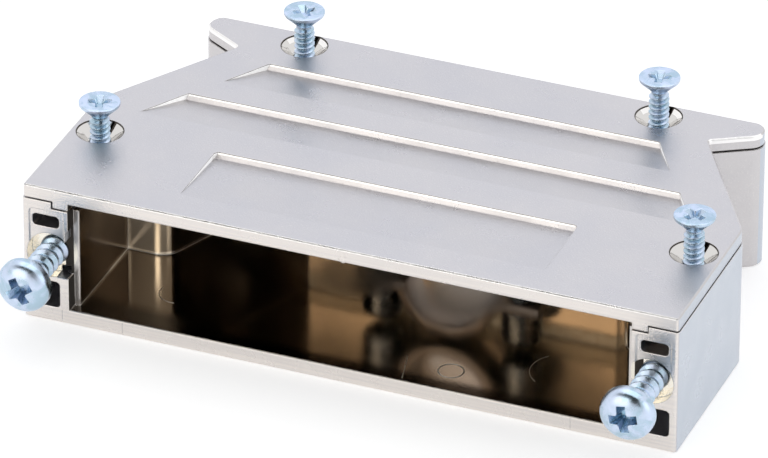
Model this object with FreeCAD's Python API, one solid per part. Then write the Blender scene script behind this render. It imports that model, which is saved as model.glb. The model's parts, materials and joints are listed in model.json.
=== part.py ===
"""Die-cast metal hood for a 37-way D-sub connector: base, cover, cable saddle and screws.

Everything is drawn in millimetres with y = 0 on the front face and z = 0 on the underside.
It is moved at the end, so that the origin lies under the middle of the hood.
"""

import FreeCAD, Part
import math
import os

from FreeCAD import Vector

# The connector's two flange screws set the width of the hood
FLANGE_SPACING = 63.5
FLANGE_MARGIN = 2.9

# Outside of the hood, seen from above
DEPTH = 38.9
HEIGHT = 15.2
SIDE_LENGTH = 18.5
SIDE_SLANT = 31.0
EAR_DEPTH = 5.3
EAR_REACH = 6.1
EAR_FRONT_RADIUS = 1.65
EAR_REAR_RADIUS = 1.3
EAR_FRONT_SHARE = 0.67
EAR_REAR_SHARE = 0.53
FRONT_CORNER_RADIUS = 0.4
BEND_RADIUS = 2.5
NOTCH_RADIUS = 0.3
EDGE_BREAK = 0.15

# Wall thicknesses and the line where the two castings part
PLATE = 1.4
FLOOR = 1.6
WALL = 0.9
PARTING_GAP = 0.12
COVER_INSET = 0.1

# Opening for the connector and the chamber behind it
OPENING_MARGIN = 2.0
FRONT_PLATE = 1.35
CHAMBER_STEP = 0.65
CHAMBER_DEPTH = 13.3
SHOULDER_STEP = 4.4
SHOULDER_RADIUS = 2.2
FUNNEL_REAR_HALF = 17.0
REAR_BLOCK = 7.0

# Pockets and windows of the end blocks
BLOCK_RUN = 2.9
SIDE_SKIN = 1.05
POCKET_END = 9.6
POCKET_LIP = 0.4
INNER_WALL_DROP = 1.25
PANEL_STEP = 0.12
PANEL_MARGIN = 0.5
PANEL_FRAME = 0.75
PANEL_DROP = 1.0
PLATE_NOTCH = 0.3
SLOT_MARGIN = 0.7
SLOT_RADIUS = 0.45
UPPER_SLOT_DROP = 1.7
UPPER_SLOT_HEIGHT = 1.35
LOWER_SLOT_SKIN = 0.8
LOWER_SLOT_LIFT = 0.1
LOWER_SLOT_DEPTH = 9.0
SCREW_WALL = 0.15
NOTCH_SLOT_HEIGHT = 0.75
NOTCH_SLOT_REACH = 1.25
NOTCH_SLOT_DEPTH = 3.5
LOWER_SLOT_WEB = 0.55

# Lugs, ribs and grip recesses of the cover; a recess is placed by the distance of its rear corners
# from the widest side and from the rear
LUG_WIDTH = 1.65
LUG_DROP = 0.74
RIB_THICKNESS = 0.8
RIB_DROP = 1.2
RIB_START = 3.0
RIB_END_GAP = 0.6
RIB_PLAY = 0.2
GRIP_DEPTH = 0.6
GRIP_STEP_RUN = 0.3
GRIP_CORNER_RADIUS = 0.5
GRIP_SLANT = 30.0
REAR_GRIP_SIDE = 13.55
REAR_GRIP_REAR = 7.4
REAR_GRIP_LENGTH = 5.1
MIDDLE_GRIP_SIDE = 8.25
MIDDLE_GRIP_REAR = 16.05
MIDDLE_GRIP_LENGTH = 5.3
FRONT_GRIP_SIDE = 15.35
FRONT_GRIP_REAR = 25.8
FRONT_GRIP_LENGTH = 9.1

# Screws that hold the cover; each stands proud of the cover by its own height
COVER_SCREW_LENGTH = 8.0
COVER_SCREW_RADIUS = 1.05
COVER_HEAD_RADIUS = 2.1
COVER_HEAD_RIM = 0.2
COUNTERSINK_RADIUS = 2.45
COVER_HOLE_CLEARANCE = 0.1
COVER_BOSS_WALL = 1.15
FRONT_SCREW_SIDE = 3.05
FRONT_SCREW_Y = 12.5
REAR_SCREW_SIDE = 15.42
REAR_SCREW_REAR = 2.6
PROUD_FRONT_LEFT = 3.45
PROUD_FRONT_RIGHT = 4.35
PROUD_REAR_LEFT = 4.1
PROUD_REAR_RIGHT = 4.6

# Screws that hold the connector's flange
FLANGE_SCREW_RADIUS = 1.45
FLANGE_SCREW_LENGTH = 9.5
FLANGE_SCREW_TIP = 0.9
FLANGE_HEAD_RADIUS = 2.8
FLANGE_HEAD_HEIGHT = 2.2
FLANGE_HEAD_SIDE = 0.7
FLANGE_PROUD = 5.6
FLANGE_TURN_LEFT = 30
FLANGE_TURN_RIGHT = 10
COUNTERBORE_WALL = 1.0

# Cable exit, saddle and its screws
CABLE_RADIUS = 4.4
EXIT_WALL = 1.1
TONGUE_LEG = 1.0
TONGUE_PLAY = 0.1
SADDLE_THICKNESS = 1.1
SADDLE_WIDTH = 4.0
SADDLE_RUN = 2.9
SADDLE_LIFT = 0.15
SADDLE_EAR_END = 2.5
SADDLE_SCREW_OFFSET = 3.2
SADDLE_SCREW_RADIUS = 1.45
SADDLE_SCREW_LENGTH = 5.2
SADDLE_SCREW_TIP = 0.4
SADDLE_HEAD_RADIUS = 2.1
SADDLE_HEAD_HEIGHT = 4.3
SADDLE_HEAD_SIDE = 3.2
SADDLE_HOLE_CLEARANCE = 0.1
PILLAR_WALL = 1.1
PILLAR_GAP = 2.3

# Shapes of the screw heads: cross recesses as shares of the head's radius and height, and the two
# corners of a pan head's dome as shares of its radius and of the dome's height
RECESS_ARM = 0.34
RECESS_FOOT = 0.45
SUNK_RECESS_SPAN = 0.6
SUNK_RECESS_DEPTH = 0.75
PAN_RECESS_SPAN = 0.54
PAN_RECESS_DEPTH = 0.7
PAN_CROWN = (0.45, 0.92)
PAN_SHOULDER = (0.8, 0.6)
TIP_SHARE = 0.45

# A screw turns in its cast hole with this much play all round
THREAD_PLAY = 0.05
HOLE_RUN_OUT = 0.5
OVERCUT = 1.0

# Places that follow from the sizes above
FLANGE_SCREW_X = FLANGE_SPACING / 2
HALF_WIDTH = FLANGE_SCREW_X + FLANGE_MARGIN
AXIS_Z = HEIGHT / 2
UNDERSIDE = HEIGHT - PLATE
WALL_TOP = UNDERSIDE - PARTING_GAP
OPENING_HALF = FLANGE_SCREW_X - OPENING_MARGIN
CHAMBER_HALF = OPENING_HALF - CHAMBER_STEP
SHOULDER_HALF = CHAMBER_HALF - SHOULDER_STEP
POCKET_INNER = CHAMBER_HALF + WALL
POCKET_OUTER = HALF_WIDTH - SIDE_SKIN
UPPER_SLOT_TOP = UNDERSIDE - UPPER_SLOT_DROP
UPPER_SLOT_FLOOR = UPPER_SLOT_TOP - UPPER_SLOT_HEIGHT
SCREW_HOLE_FLOOR = AXIS_Z - FLANGE_SCREW_RADIUS - THREAD_PLAY
NOTCH_SLOT_TOP = SCREW_HOLE_FLOOR - SCREW_WALL
NOTCH_SLOT_FLOOR = NOTCH_SLOT_TOP - NOTCH_SLOT_HEIGHT
LUG_HALF = OPENING_HALF + LUG_WIDTH
LUG_SEAT = UNDERSIDE - LUG_DROP - PARTING_GAP
NOTCH_Y = DEPTH - EAR_DEPTH
REAR_WALL_Y = DEPTH - REAR_BLOCK
FRONT_SCREW = (HALF_WIDTH - FRONT_SCREW_SIDE, FRONT_SCREW_Y)
REAR_SCREW = (HALF_WIDTH - REAR_SCREW_SIDE, DEPTH - REAR_SCREW_REAR)
EXIT_HALF = CABLE_RADIUS + TONGUE_LEG + TONGUE_PLAY
SADDLE_Y = REAR_WALL_Y - SADDLE_RUN
SADDLE_SCREW_X = CABLE_RADIUS + SADDLE_SCREW_OFFSET
SADDLE_EAR_Z = AXIS_Z + SADDLE_LIFT
PILLAR_TOP = SADDLE_EAR_Z - PILLAR_GAP
ORIGIN_SHIFT = Vector(0, -DEPTH / 2, 0)


def box(x0, x1, y0, y1, z0, z1):
    """Block between two corners."""
    return Part.makeBox(x1 - x0, y1 - y0, z1 - z0, Vector(x0, y0, z0))


def rod_z(radius, x, y, z0, z1):
    """Upright cylinder."""
    return Part.makeCylinder(radius, z1 - z0, Vector(x, y, z0))


def rod_y(radius, x, z, y0, y1):
    """Cylinder that runs from front to rear."""
    return Part.makeCylinder(radius, y1 - y0, Vector(x, y0, z), Vector(0, 1, 0))


def mirrored(shape):
    """The same shape on the other side of the middle plane."""
    return shape.mirror(Vector(0, 0, 0), Vector(1, 0, 0))


def on_both_sides(shape):
    """The shape and its mirror image as one."""
    return shape.fuse(mirrored(shape))


def fused(shapes):
    """All shapes joined into one, with the seams between flush faces removed."""
    return shapes[0].multiFuse(shapes[1:]).removeSplitter()


def plan_point(u, v):
    """Point of an outline drawn from above."""
    return Vector(u, v, 0)


def front_point(u, v):
    """Point of an outline drawn from the front."""
    return Vector(u, 0, v)


def rounded_face(corners, place=plan_point):
    """Face with the given corners, each (u, v, radius), joined by lines and tangent arcs."""
    points = [Vector(u, v, 0) for u, v, radius in corners]
    edges = []
    arc_ends = []
    for index, corner in enumerate(corners):
        here = points[index]
        back = (points[index - 1] - here).normalize()
        ahead = (points[(index + 1) % len(points)] - here).normalize()
        radius = corner[2]
        if radius == 0:
            arc_ends.append((here, here, here))
            continue
        half_angle = back.getAngle(ahead) / 2
        run = radius / math.tan(half_angle)
        bisector = (back + ahead).normalize()
        reach = radius / math.sin(half_angle) - radius
        arc_ends.append((here + back * run, here + bisector * reach, here + ahead * run))
    placed = [[place(p.x, p.y) for p in ends] for ends in arc_ends]
    for index, (start, middle, end) in enumerate(placed):
        if not start.isEqual(end, 1e-6):
            edges.append(Part.Arc(start, middle, end).toShape())
        following = placed[(index + 1) % len(placed)][0]
        edges.append(Part.LineSegment(end, following).toShape())
    return Part.Face(Part.Wire(edges))


def mirror_corners(right_half):
    """Closed list of corners from those of the right half, given from front to rear."""
    left_half = [(-x, y, radius) for x, y, radius in reversed(right_half)]
    return right_half + left_half


def outline_face():
    """Outline of the hood: straight sides, slanted sides, and an ear at each rear corner."""
    slant = math.radians(SIDE_SLANT)
    notch_x = HALF_WIDTH - (NOTCH_Y - SIDE_LENGTH) * math.tan(slant)
    tip_x = notch_x + EAR_REACH * math.cos(slant)
    tip_y = NOTCH_Y + EAR_REACH * math.sin(slant)
    rear_x = tip_x - (DEPTH - tip_y) * math.tan(slant)
    ear_end = (DEPTH - tip_y) / math.cos(slant)
    return rounded_face(mirror_corners([
        (HALF_WIDTH, 0, FRONT_CORNER_RADIUS),
        (HALF_WIDTH, SIDE_LENGTH, BEND_RADIUS),
        (notch_x, NOTCH_Y, NOTCH_RADIUS),
        (tip_x, tip_y, min(EAR_FRONT_RADIUS, EAR_FRONT_SHARE * ear_end)),
        (rear_x, DEPTH, min(EAR_REAR_RADIUS, EAR_REAR_SHARE * ear_end)),
    ]))


def extruded(face, z0, z1):
    """Prism on a face drawn from above."""
    lifted = face.copy()
    lifted.translate(Vector(0, 0, z0))
    return lifted.extrude(Vector(0, 0, z1 - z0))


def extruded_back(face, y0, y1):
    """Prism on a face drawn from the front."""
    moved = face.copy()
    moved.translate(Vector(0, y0, 0))
    return moved.extrude(Vector(0, y1 - y0, 0))


def broken_rim(solid, z):
    """Solid with a small chamfer along every edge that lies at height z."""
    edges = [e for e in solid.Edges if abs(e.BoundBox.ZMin - z) < 1e-4 and abs(e.BoundBox.ZMax - z) < 1e-4]
    return solid.makeChamfer(EDGE_BREAK, edges)


def front_slot(x0, x1, z0, z1, y0, y1):
    """Round-cornered pocket that runs back from the front."""
    corners = [(x0, z0), (x1, z0), (x1, z1), (x0, z1)]
    face = rounded_face([(x, z, SLOT_RADIUS) for x, z in corners], front_point)
    return extruded_back(face, y0, y1)


def shell_tray():
    """Floor and outer wall of the base, open at the top and, between the end blocks, at the front."""
    outline = outline_face()
    tray = broken_rim(extruded(outline, 0, WALL_TOP), 0)
    hollow = extruded(outline.makeOffset2D(-WALL), FLOOR, HEIGHT)
    opening = box(-OPENING_HALF, OPENING_HALF, -OVERCUT, WALL + OVERCUT, FLOOR, HEIGHT)
    return tray.cut(hollow).cut(opening)


def end_block():
    """Right end block: front plate, inner side wall and the solid round the front cover screw."""
    block = box(CHAMBER_HALF, HALF_WIDTH - WALL / 2, 0, FRONT_SCREW_Y + BLOCK_RUN, FLOOR / 2, WALL_TOP)
    pocket_floor = UPPER_SLOT_FLOOR - POCKET_LIP
    inner_wall_top = UNDERSIDE - INNER_WALL_DROP
    cuts = [
        box(0, OPENING_HALF, -OVERCUT, FRONT_PLATE, FLOOR, HEIGHT),
        box(POCKET_INNER, POCKET_OUTER, FRONT_PLATE, POCKET_END, pocket_floor, HEIGHT),
        box(0, POCKET_OUTER, FRONT_PLATE, POCKET_END, inner_wall_top, HEIGHT),
    ]
    return block.cut(cuts[0].multiFuse(cuts[1:]))


def end_block_holes():
    """Lug seat, windows, counterbore and screw hole that enter the right end block from the front."""
    slot_inner = POCKET_INNER + SLOT_MARGIN
    lower_outer = HALF_WIDTH - LOWER_SLOT_SKIN
    lower_floor = FLOOR + LOWER_SLOT_LIFT
    lower_top = NOTCH_SLOT_FLOOR - LOWER_SLOT_WEB
    notch_end = OPENING_HALF + NOTCH_SLOT_REACH
    hole_radius = FLANGE_SCREW_RADIUS + THREAD_PLAY
    hole_end = FLANGE_SCREW_LENGTH + HOLE_RUN_OUT
    bore_radius = FLANGE_SCREW_RADIUS + COUNTERBORE_WALL
    panel_inner = OPENING_HALF + PANEL_MARGIN
    panel_outer = HALF_WIDTH - PANEL_FRAME
    panel_top = WALL_TOP - PANEL_DROP
    plate_notch = OPENING_HALF + PLATE_NOTCH
    return [
        box(OPENING_HALF - OVERCUT, LUG_HALF + PARTING_GAP, -OVERCUT, FRONT_PLATE, LUG_SEAT, HEIGHT),
        front_slot(panel_inner, panel_outer, AXIS_Z, panel_top, -OVERCUT, PANEL_STEP),
        box(OPENING_HALF - OVERCUT, plate_notch, -OVERCUT, FRONT_PLATE, NOTCH_SLOT_TOP, UPPER_SLOT_FLOOR),
        front_slot(slot_inner, POCKET_OUTER, UPPER_SLOT_FLOOR, UPPER_SLOT_TOP, -OVERCUT, FRONT_PLATE + OVERCUT),
        front_slot(slot_inner, lower_outer, lower_floor, lower_top, -OVERCUT, LOWER_SLOT_DEPTH),
        box(OPENING_HALF - OVERCUT, notch_end, -OVERCUT, FRONT_PLATE, NOTCH_SLOT_FLOOR, NOTCH_SLOT_TOP),
        box(POCKET_INNER, notch_end, 0, NOTCH_SLOT_DEPTH, NOTCH_SLOT_FLOOR, NOTCH_SLOT_TOP),
        rod_y(bore_radius, FLANGE_SCREW_X, AXIS_Z, -OVERCUT, FRONT_PLATE),
        rod_y(hole_radius, FLANGE_SCREW_X, AXIS_Z, -OVERCUT, hole_end),
    ]


def funnel_wall():
    """Shoulder behind the chamber and the wall that narrows from it to the cable exit, right side."""
    run = REAR_WALL_Y - CHAMBER_DEPTH
    slope = math.atan2(SHOULDER_HALF - FUNNEL_REAR_HALF, run)
    across = WALL / math.cos(slope)
    rear = REAR_WALL_Y + WALL
    rear_x = SHOULDER_HALF - (rear - CHAMBER_DEPTH) * math.tan(slope)
    corner_x = SHOULDER_HALF + across - WALL * math.tan(slope)
    face = rounded_face([
        (SHOULDER_HALF, CHAMBER_DEPTH, SHOULDER_RADIUS),
        (CHAMBER_HALF + WALL, CHAMBER_DEPTH, 0),
        (CHAMBER_HALF + WALL, CHAMBER_DEPTH + WALL, 0),
        (corner_x, CHAMBER_DEPTH + WALL, 0),
        (rear_x + across, rear, 0),
        (rear_x, rear, 0),
    ])
    return extruded(face, FLOOR / 2, WALL_TOP)


def rear_wall():
    """Inner rear wall, right half, from the cable exit to the rear screw boss."""
    return box(0, REAR_SCREW[0], REAR_WALL_Y, REAR_WALL_Y + WALL, FLOOR / 2, WALL_TOP)


def cover_screw_boss(place, bottom):
    """Boss whose top carries the cover."""
    return rod_z(COVER_SCREW_RADIUS + COVER_BOSS_WALL, place[0], place[1], bottom, UNDERSIDE)


def cover_screw_hole(place):
    """Blind hole for a cover screw, deeper than the seated screw reaches."""
    bottom = HEIGHT - COVER_SCREW_LENGTH - HOLE_RUN_OUT
    return rod_z(COVER_SCREW_RADIUS + THREAD_PLAY, place[0], place[1], bottom, HEIGHT)


def cable_exit_block():
    """Solid round the cable exit, from the inner rear wall to the outside."""
    half = EXIT_HALF + EXIT_WALL
    return box(-half, half, REAR_WALL_Y, DEPTH - WALL / 2, FLOOR / 2, WALL_TOP)


def cable_exit_cut():
    """Lower half of the round exit, with a wider slot above it for the cover's tongue."""
    start = REAR_WALL_Y - OVERCUT
    end = DEPTH + OVERCUT
    slot = box(-EXIT_HALF, EXIT_HALF, start, end, AXIS_Z, HEIGHT)
    return slot.fuse(rod_y(CABLE_RADIUS, 0, AXIS_Z, start, end))


def pillar():
    """Right pillar for a saddle screw, with its hole."""
    radius = SADDLE_SCREW_RADIUS + THREAD_PLAY
    body = rod_z(radius + PILLAR_WALL, SADDLE_SCREW_X, SADDLE_Y, FLOOR / 2, PILLAR_TOP)
    return body.cut(rod_z(radius, SADDLE_SCREW_X, SADDLE_Y, FLOOR, HEIGHT))


def base_shell():
    """Lower casting."""
    right_side = fused([
        end_block(),
        funnel_wall(),
        rear_wall(),
        cover_screw_boss(FRONT_SCREW, UPPER_SLOT_FLOOR),
        cover_screw_boss(REAR_SCREW, FLOOR / 2),
        pillar(),
    ])
    inside = outline_face().makeOffset2D(-WALL / 2)
    inner = on_both_sides(right_side).fuse(cable_exit_block()).common(extruded(inside, 0, HEIGHT))
    front_plates = on_both_sides(end_block()).common(extruded(outline_face(), FLOOR, HEIGHT))
    body = fused([shell_tray(), inner, front_plates])
    cuts = end_block_holes() + [cover_screw_hole(FRONT_SCREW), cover_screw_hole(REAR_SCREW)]
    for hole in cuts:
        body = body.cut(on_both_sides(hole))
    return body.cut(cable_exit_cut()).removeSplitter()


def grip_recess(side, rear, length, slant):
    """Wedge-shaped recess in the cover's top: deepest at its rear step, and fading out to the front."""
    half_rear = HALF_WIDTH - side
    rear_y = DEPTH - rear
    front_y = rear_y - length
    half_front = half_rear + length * math.tan(math.radians(slant))
    plan = rounded_face([
        (-half_front, front_y, 0),
        (half_front, front_y, 0),
        (half_rear, rear_y, GRIP_CORNER_RADIUS),
        (-half_rear, rear_y, GRIP_CORNER_RADIUS),
    ])
    profile = Part.Face(Part.makePolygon([
        Vector(-half_front, front_y, HEIGHT),
        Vector(-half_front, rear_y - GRIP_STEP_RUN, HEIGHT - GRIP_DEPTH),
        Vector(-half_front, rear_y, HEIGHT),
        Vector(-half_front, rear_y, HEIGHT + OVERCUT),
        Vector(-half_front, front_y, HEIGHT + OVERCUT),
        Vector(-half_front, front_y, HEIGHT),
    ]))
    wedge = profile.extrude(Vector(2 * half_front, 0, 0))
    return wedge.common(extruded(plan, HEIGHT - PLATE, HEIGHT + OVERCUT))


def countersunk_hole(place):
    """Clearance hole for a cover screw with its 90 degree countersink."""
    x, y = place
    hole_radius = COVER_SCREW_RADIUS + COVER_HOLE_CLEARANCE
    sink_depth = COUNTERSINK_RADIUS - hole_radius
    sink = Part.makeCone(hole_radius, COUNTERSINK_RADIUS, sink_depth, Vector(x, y, HEIGHT - sink_depth))
    return sink.fuse(rod_z(hole_radius, x, y, UNDERSIDE - OVERCUT, HEIGHT + OVERCUT))


def cover_tongue():
    """Tongue that closes the upper half of the cable exit."""
    half = EXIT_HALF - TONGUE_PLAY
    start = REAR_WALL_Y + TONGUE_PLAY
    end = DEPTH - COVER_INSET
    tongue = box(-half, half, start, end, AXIS_Z + TONGUE_PLAY, UNDERSIDE + PLATE / 2)
    return tongue.cut(rod_y(CABLE_RADIUS, 0, AXIS_Z, start - OVERCUT, end + OVERCUT))


def cover_lug():
    """Right front lug, which steps down beside the connector opening."""
    inset = COVER_INSET
    bottom = UNDERSIDE - LUG_DROP
    return box(OPENING_HALF, LUG_HALF, inset, FRONT_PLATE - inset, bottom, UNDERSIDE + PLATE / 2)


def locating_rib():
    """Rib that drops into the pocket of the right end block and keeps the cover in place."""
    outer = POCKET_OUTER - RIB_PLAY
    end = POCKET_END - RIB_END_GAP
    return box(outer - RIB_THICKNESS, outer, RIB_START, end, UNDERSIDE - RIB_DROP, UNDERSIDE + PLATE / 2)


def top_cover():
    """Upper casting."""
    outline = outline_face().makeOffset2D(-COVER_INSET)
    plate = broken_rim(extruded(outline, UNDERSIDE, HEIGHT), HEIGHT)
    body = fused([plate, on_both_sides(cover_lug()), on_both_sides(locating_rib()), cover_tongue()])
    cuts = [
        on_both_sides(countersunk_hole(FRONT_SCREW)),
        on_both_sides(countersunk_hole(REAR_SCREW)),
        grip_recess(REAR_GRIP_SIDE, REAR_GRIP_REAR, REAR_GRIP_LENGTH, GRIP_SLANT),
        grip_recess(MIDDLE_GRIP_SIDE, MIDDLE_GRIP_REAR, MIDDLE_GRIP_LENGTH, GRIP_SLANT),
        grip_recess(FRONT_GRIP_SIDE, FRONT_GRIP_REAR, FRONT_GRIP_LENGTH, 0),
    ]
    for cut in cuts:
        body = body.cut(cut)
    return body


def cross_recess(radius, depth, top):
    """Tapered cross that is cut into a screw head; it stands on the axis with its mouth at height top."""
    arm = radius * RECESS_ARM
    foot_span = radius * RECESS_FOOT
    foot_arm = arm * RECESS_FOOT
    blade = Part.makeWedge(
        -foot_span, 0, -foot_arm, -arm, -radius,
        foot_span, depth, foot_arm, arm, radius,
    )
    blade.rotate(Vector(0, 0, 0), Vector(1, 0, 0), 90)
    blade.translate(Vector(0, 0, top - depth))
    second = blade.copy()
    second.rotate(Vector(0, 0, 0), Vector(0, 0, 1), 90)
    return blade.fuse(second)


def turned(profile):
    """Solid of revolution about Z from a closed profile of (radius, z) points."""
    points = [Vector(radius, 0, z) for radius, z in profile]
    face = Part.Face(Part.makePolygon(points + points[:1]))
    return face.revolve(Vector(0, 0, 0), Vector(0, 0, 1), 360)


def countersunk_screw():
    """Cover screw with the top of its head at z = 0; the shank has the thread's outer size."""
    cone_end = COVER_HEAD_RIM + COVER_HEAD_RADIUS - COVER_SCREW_RADIUS
    body = turned([
        (0, 0),
        (COVER_HEAD_RADIUS, 0),
        (COVER_HEAD_RADIUS, -COVER_HEAD_RIM),
        (COVER_SCREW_RADIUS, -cone_end),
        (COVER_SCREW_RADIUS, -COVER_SCREW_LENGTH),
        (0, -COVER_SCREW_LENGTH),
    ])
    return body.cut(cross_recess(COVER_HEAD_RADIUS * SUNK_RECESS_SPAN, cone_end * SUNK_RECESS_DEPTH, 0))


def pan_head_screw(shank_radius, length, tip, head_radius, head_height, head_side):
    """Pan-head screw with the underside of its head at z = 0 and its shank below."""
    dome = head_height - head_side
    body = turned([
        (0, head_height),
        (head_radius * PAN_CROWN[0], head_side + dome * PAN_CROWN[1]),
        (head_radius * PAN_SHOULDER[0], head_side + dome * PAN_SHOULDER[1]),
        (head_radius, head_side),
        (head_radius, 0),
        (shank_radius, 0),
        (shank_radius, tip - length),
        (shank_radius * TIP_SHARE, -length),
        (0, -length),
    ])
    return body.cut(cross_recess(head_radius * PAN_RECESS_SPAN, head_height * PAN_RECESS_DEPTH, head_height))


def placed_cover_screw(place, side, proud):
    """Cover screw on one side, standing proud of the cover."""
    screw = countersunk_screw()
    screw.translate(Vector(side * place[0], place[1], HEIGHT + proud))
    return screw


def placed_flange_screw(side, turn):
    """Flange screw on one side, half driven in, with its cross turned by an angle."""
    screw = pan_head_screw(
        FLANGE_SCREW_RADIUS, FLANGE_SCREW_LENGTH, FLANGE_SCREW_TIP,
        FLANGE_HEAD_RADIUS, FLANGE_HEAD_HEIGHT, FLANGE_HEAD_SIDE,
    )
    screw.rotate(Vector(0, 0, 0), Vector(0, 0, 1), turn)
    screw.rotate(Vector(0, 0, 0), Vector(1, 0, 0), 90)
    screw.translate(Vector(side * FLANGE_SCREW_X, -FLANGE_PROUD, AXIS_Z))
    return screw


def placed_saddle_screw(side):
    """Saddle screw on one side, its head resting on the saddle's ear."""
    screw = pan_head_screw(
        SADDLE_SCREW_RADIUS, SADDLE_SCREW_LENGTH, SADDLE_SCREW_TIP,
        SADDLE_HEAD_RADIUS, SADDLE_HEAD_HEIGHT, SADDLE_HEAD_SIDE,
    )
    screw.translate(Vector(side * SADDLE_SCREW_X, SADDLE_Y, SADDLE_EAR_Z + SADDLE_THICKNESS))
    return screw


def cable_saddle():
    """Strap that arches over the cable between two flat ears."""
    y0 = SADDLE_Y - SADDLE_WIDTH / 2
    y1 = SADDLE_Y + SADDLE_WIDTH / 2
    ear_end = SADDLE_SCREW_X + SADDLE_EAR_END
    arch = rod_y(CABLE_RADIUS + SADDLE_THICKNESS, 0, AXIS_Z, y0, y1)
    above = box(-ear_end, ear_end, y0, y1, SADDLE_EAR_Z, HEIGHT)
    ears = box(-ear_end, ear_end, y0, y1, SADDLE_EAR_Z, SADDLE_EAR_Z + SADDLE_THICKNESS)
    body = fused([arch.common(above), ears])
    body = body.cut(rod_y(CABLE_RADIUS, 0, AXIS_Z, y0 - OVERCUT, y1 + OVERCUT))
    radius = SADDLE_SCREW_RADIUS + SADDLE_HOLE_CLEARANCE
    return body.cut(on_both_sides(rod_z(radius, SADDLE_SCREW_X, SADDLE_Y, 0, HEIGHT)))


def sub_parts():
    """Every piece of the hood by name."""
    return {
        "base_shell": base_shell(),
        "top_cover": top_cover(),
        "cover_screw_front_left": placed_cover_screw(FRONT_SCREW, -1, PROUD_FRONT_LEFT),
        "cover_screw_front_right": placed_cover_screw(FRONT_SCREW, 1, PROUD_FRONT_RIGHT),
        "cover_screw_rear_left": placed_cover_screw(REAR_SCREW, -1, PROUD_REAR_LEFT),
        "cover_screw_rear_right": placed_cover_screw(REAR_SCREW, 1, PROUD_REAR_RIGHT),
        "flange_screw_left": placed_flange_screw(-1, FLANGE_TURN_LEFT),
        "flange_screw_right": placed_flange_screw(1, FLANGE_TURN_RIGHT),
        "cable_saddle": cable_saddle(),
        "saddle_screw_left": placed_saddle_screw(-1),
        "saddle_screw_right": placed_saddle_screw(1),
    }


def main():
    """Write one file for each piece."""
    os.makedirs("parts", exist_ok=True)
    for name, shape in sub_parts().items():
        shape.translate(ORIGIN_SHIFT)
        shape.exportStep(f"parts/{name}.step")


main()
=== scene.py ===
"""Looks of the D-sub hood: nickel castings, threaded zinc screws, the cable saddle and the studio.

All lengths are in metres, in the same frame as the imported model: X to the right, Y to the rear, Z up,
with the underside of the hood on Z = 0.
"""

import json
import logging
import math
from collections.abc import Callable, Iterator, Sequence
from contextlib import contextmanager
from dataclasses import asdict, dataclass
from enum import Enum
from functools import partial, reduce

import bpy
from mathutils import Euler, Matrix, Vector

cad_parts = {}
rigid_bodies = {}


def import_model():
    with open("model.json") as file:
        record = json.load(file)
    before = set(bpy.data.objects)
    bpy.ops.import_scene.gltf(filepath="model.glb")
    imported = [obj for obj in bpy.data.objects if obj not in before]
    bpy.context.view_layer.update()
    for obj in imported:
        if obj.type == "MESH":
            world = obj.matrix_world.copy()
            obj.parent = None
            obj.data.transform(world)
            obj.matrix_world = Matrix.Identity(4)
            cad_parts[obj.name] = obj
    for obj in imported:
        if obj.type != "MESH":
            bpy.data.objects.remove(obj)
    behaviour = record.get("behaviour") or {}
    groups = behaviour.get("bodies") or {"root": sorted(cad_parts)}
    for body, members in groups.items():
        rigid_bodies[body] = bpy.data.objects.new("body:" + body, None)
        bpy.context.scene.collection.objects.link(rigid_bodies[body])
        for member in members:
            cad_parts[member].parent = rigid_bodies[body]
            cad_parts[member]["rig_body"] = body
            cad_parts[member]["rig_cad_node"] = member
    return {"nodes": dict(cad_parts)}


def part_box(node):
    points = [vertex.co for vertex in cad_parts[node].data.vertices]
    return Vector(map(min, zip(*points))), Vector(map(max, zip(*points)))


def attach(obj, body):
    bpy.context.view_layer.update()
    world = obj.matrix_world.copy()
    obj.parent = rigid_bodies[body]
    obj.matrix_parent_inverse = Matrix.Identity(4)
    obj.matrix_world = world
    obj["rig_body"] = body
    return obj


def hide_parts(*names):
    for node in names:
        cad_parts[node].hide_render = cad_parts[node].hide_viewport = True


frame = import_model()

LOG = logging.getLogger("hood")
MM = 0.001
MERGE = MM / 1000
FINE_MERGE = MM / 10000
SMOOTH_ANGLE = 35.0
SCREW_SMOOTH_ANGLE = 32.0

Colour = tuple[float, float, float]
Group = bpy.types.NodeTree
Node = bpy.types.Node
Pair = tuple[float, float]
Piece = bpy.types.Object
Profile = Sequence[Pair]
Socket = bpy.types.NodeSocket
Turns = tuple[tuple[str, float], ...]
Value = float | Socket


class Slot(Enum):
    """Material slots of the record."""

    NICKEL = "nickel_plate"
    ZINC = "blue_zinc"
    SADDLE = "saddle_steel"


def deselect_all() -> None:
    """Leave no object selected."""
    bpy.ops.object.select_all(action="DESELECT")


def pick(piece: Piece) -> None:
    """Make one object the only selected and the active one."""
    deselect_all()
    piece.select_set(True)
    bpy.context.view_layer.objects.active = piece


def named(name: str) -> Piece:
    """Name the active object and its mesh."""
    piece = bpy.context.active_object
    piece.name = name
    piece.data.name = name
    return piece


def turn(degrees: float, axis: str = "Z") -> Matrix:
    """Give the matrix of a turn about an axis."""
    return Matrix.Rotation(math.radians(degrees), 4, axis)


def apply_place() -> None:
    """Put the selected object's place, turn and scale into its mesh."""
    bpy.ops.object.transform_apply(location=True, rotation=True, scale=True)


@contextmanager
def edit_mode(action: str | None = "SELECT") -> Iterator[None]:
    """Work on the active object in edit mode.

    Args:
        action: SELECT or DESELECT for its whole mesh, or None to keep what is selected.
    """
    bpy.ops.object.mode_set(mode="EDIT")
    if action:
        bpy.ops.mesh.select_all(action=action)
    yield
    bpy.ops.object.mode_set(mode="OBJECT")


def face_outward() -> None:
    """Turn all faces of the mesh in edit mode outward."""
    bpy.ops.mesh.select_all(action="SELECT")
    bpy.ops.mesh.normals_make_consistent(inside=False)


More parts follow.
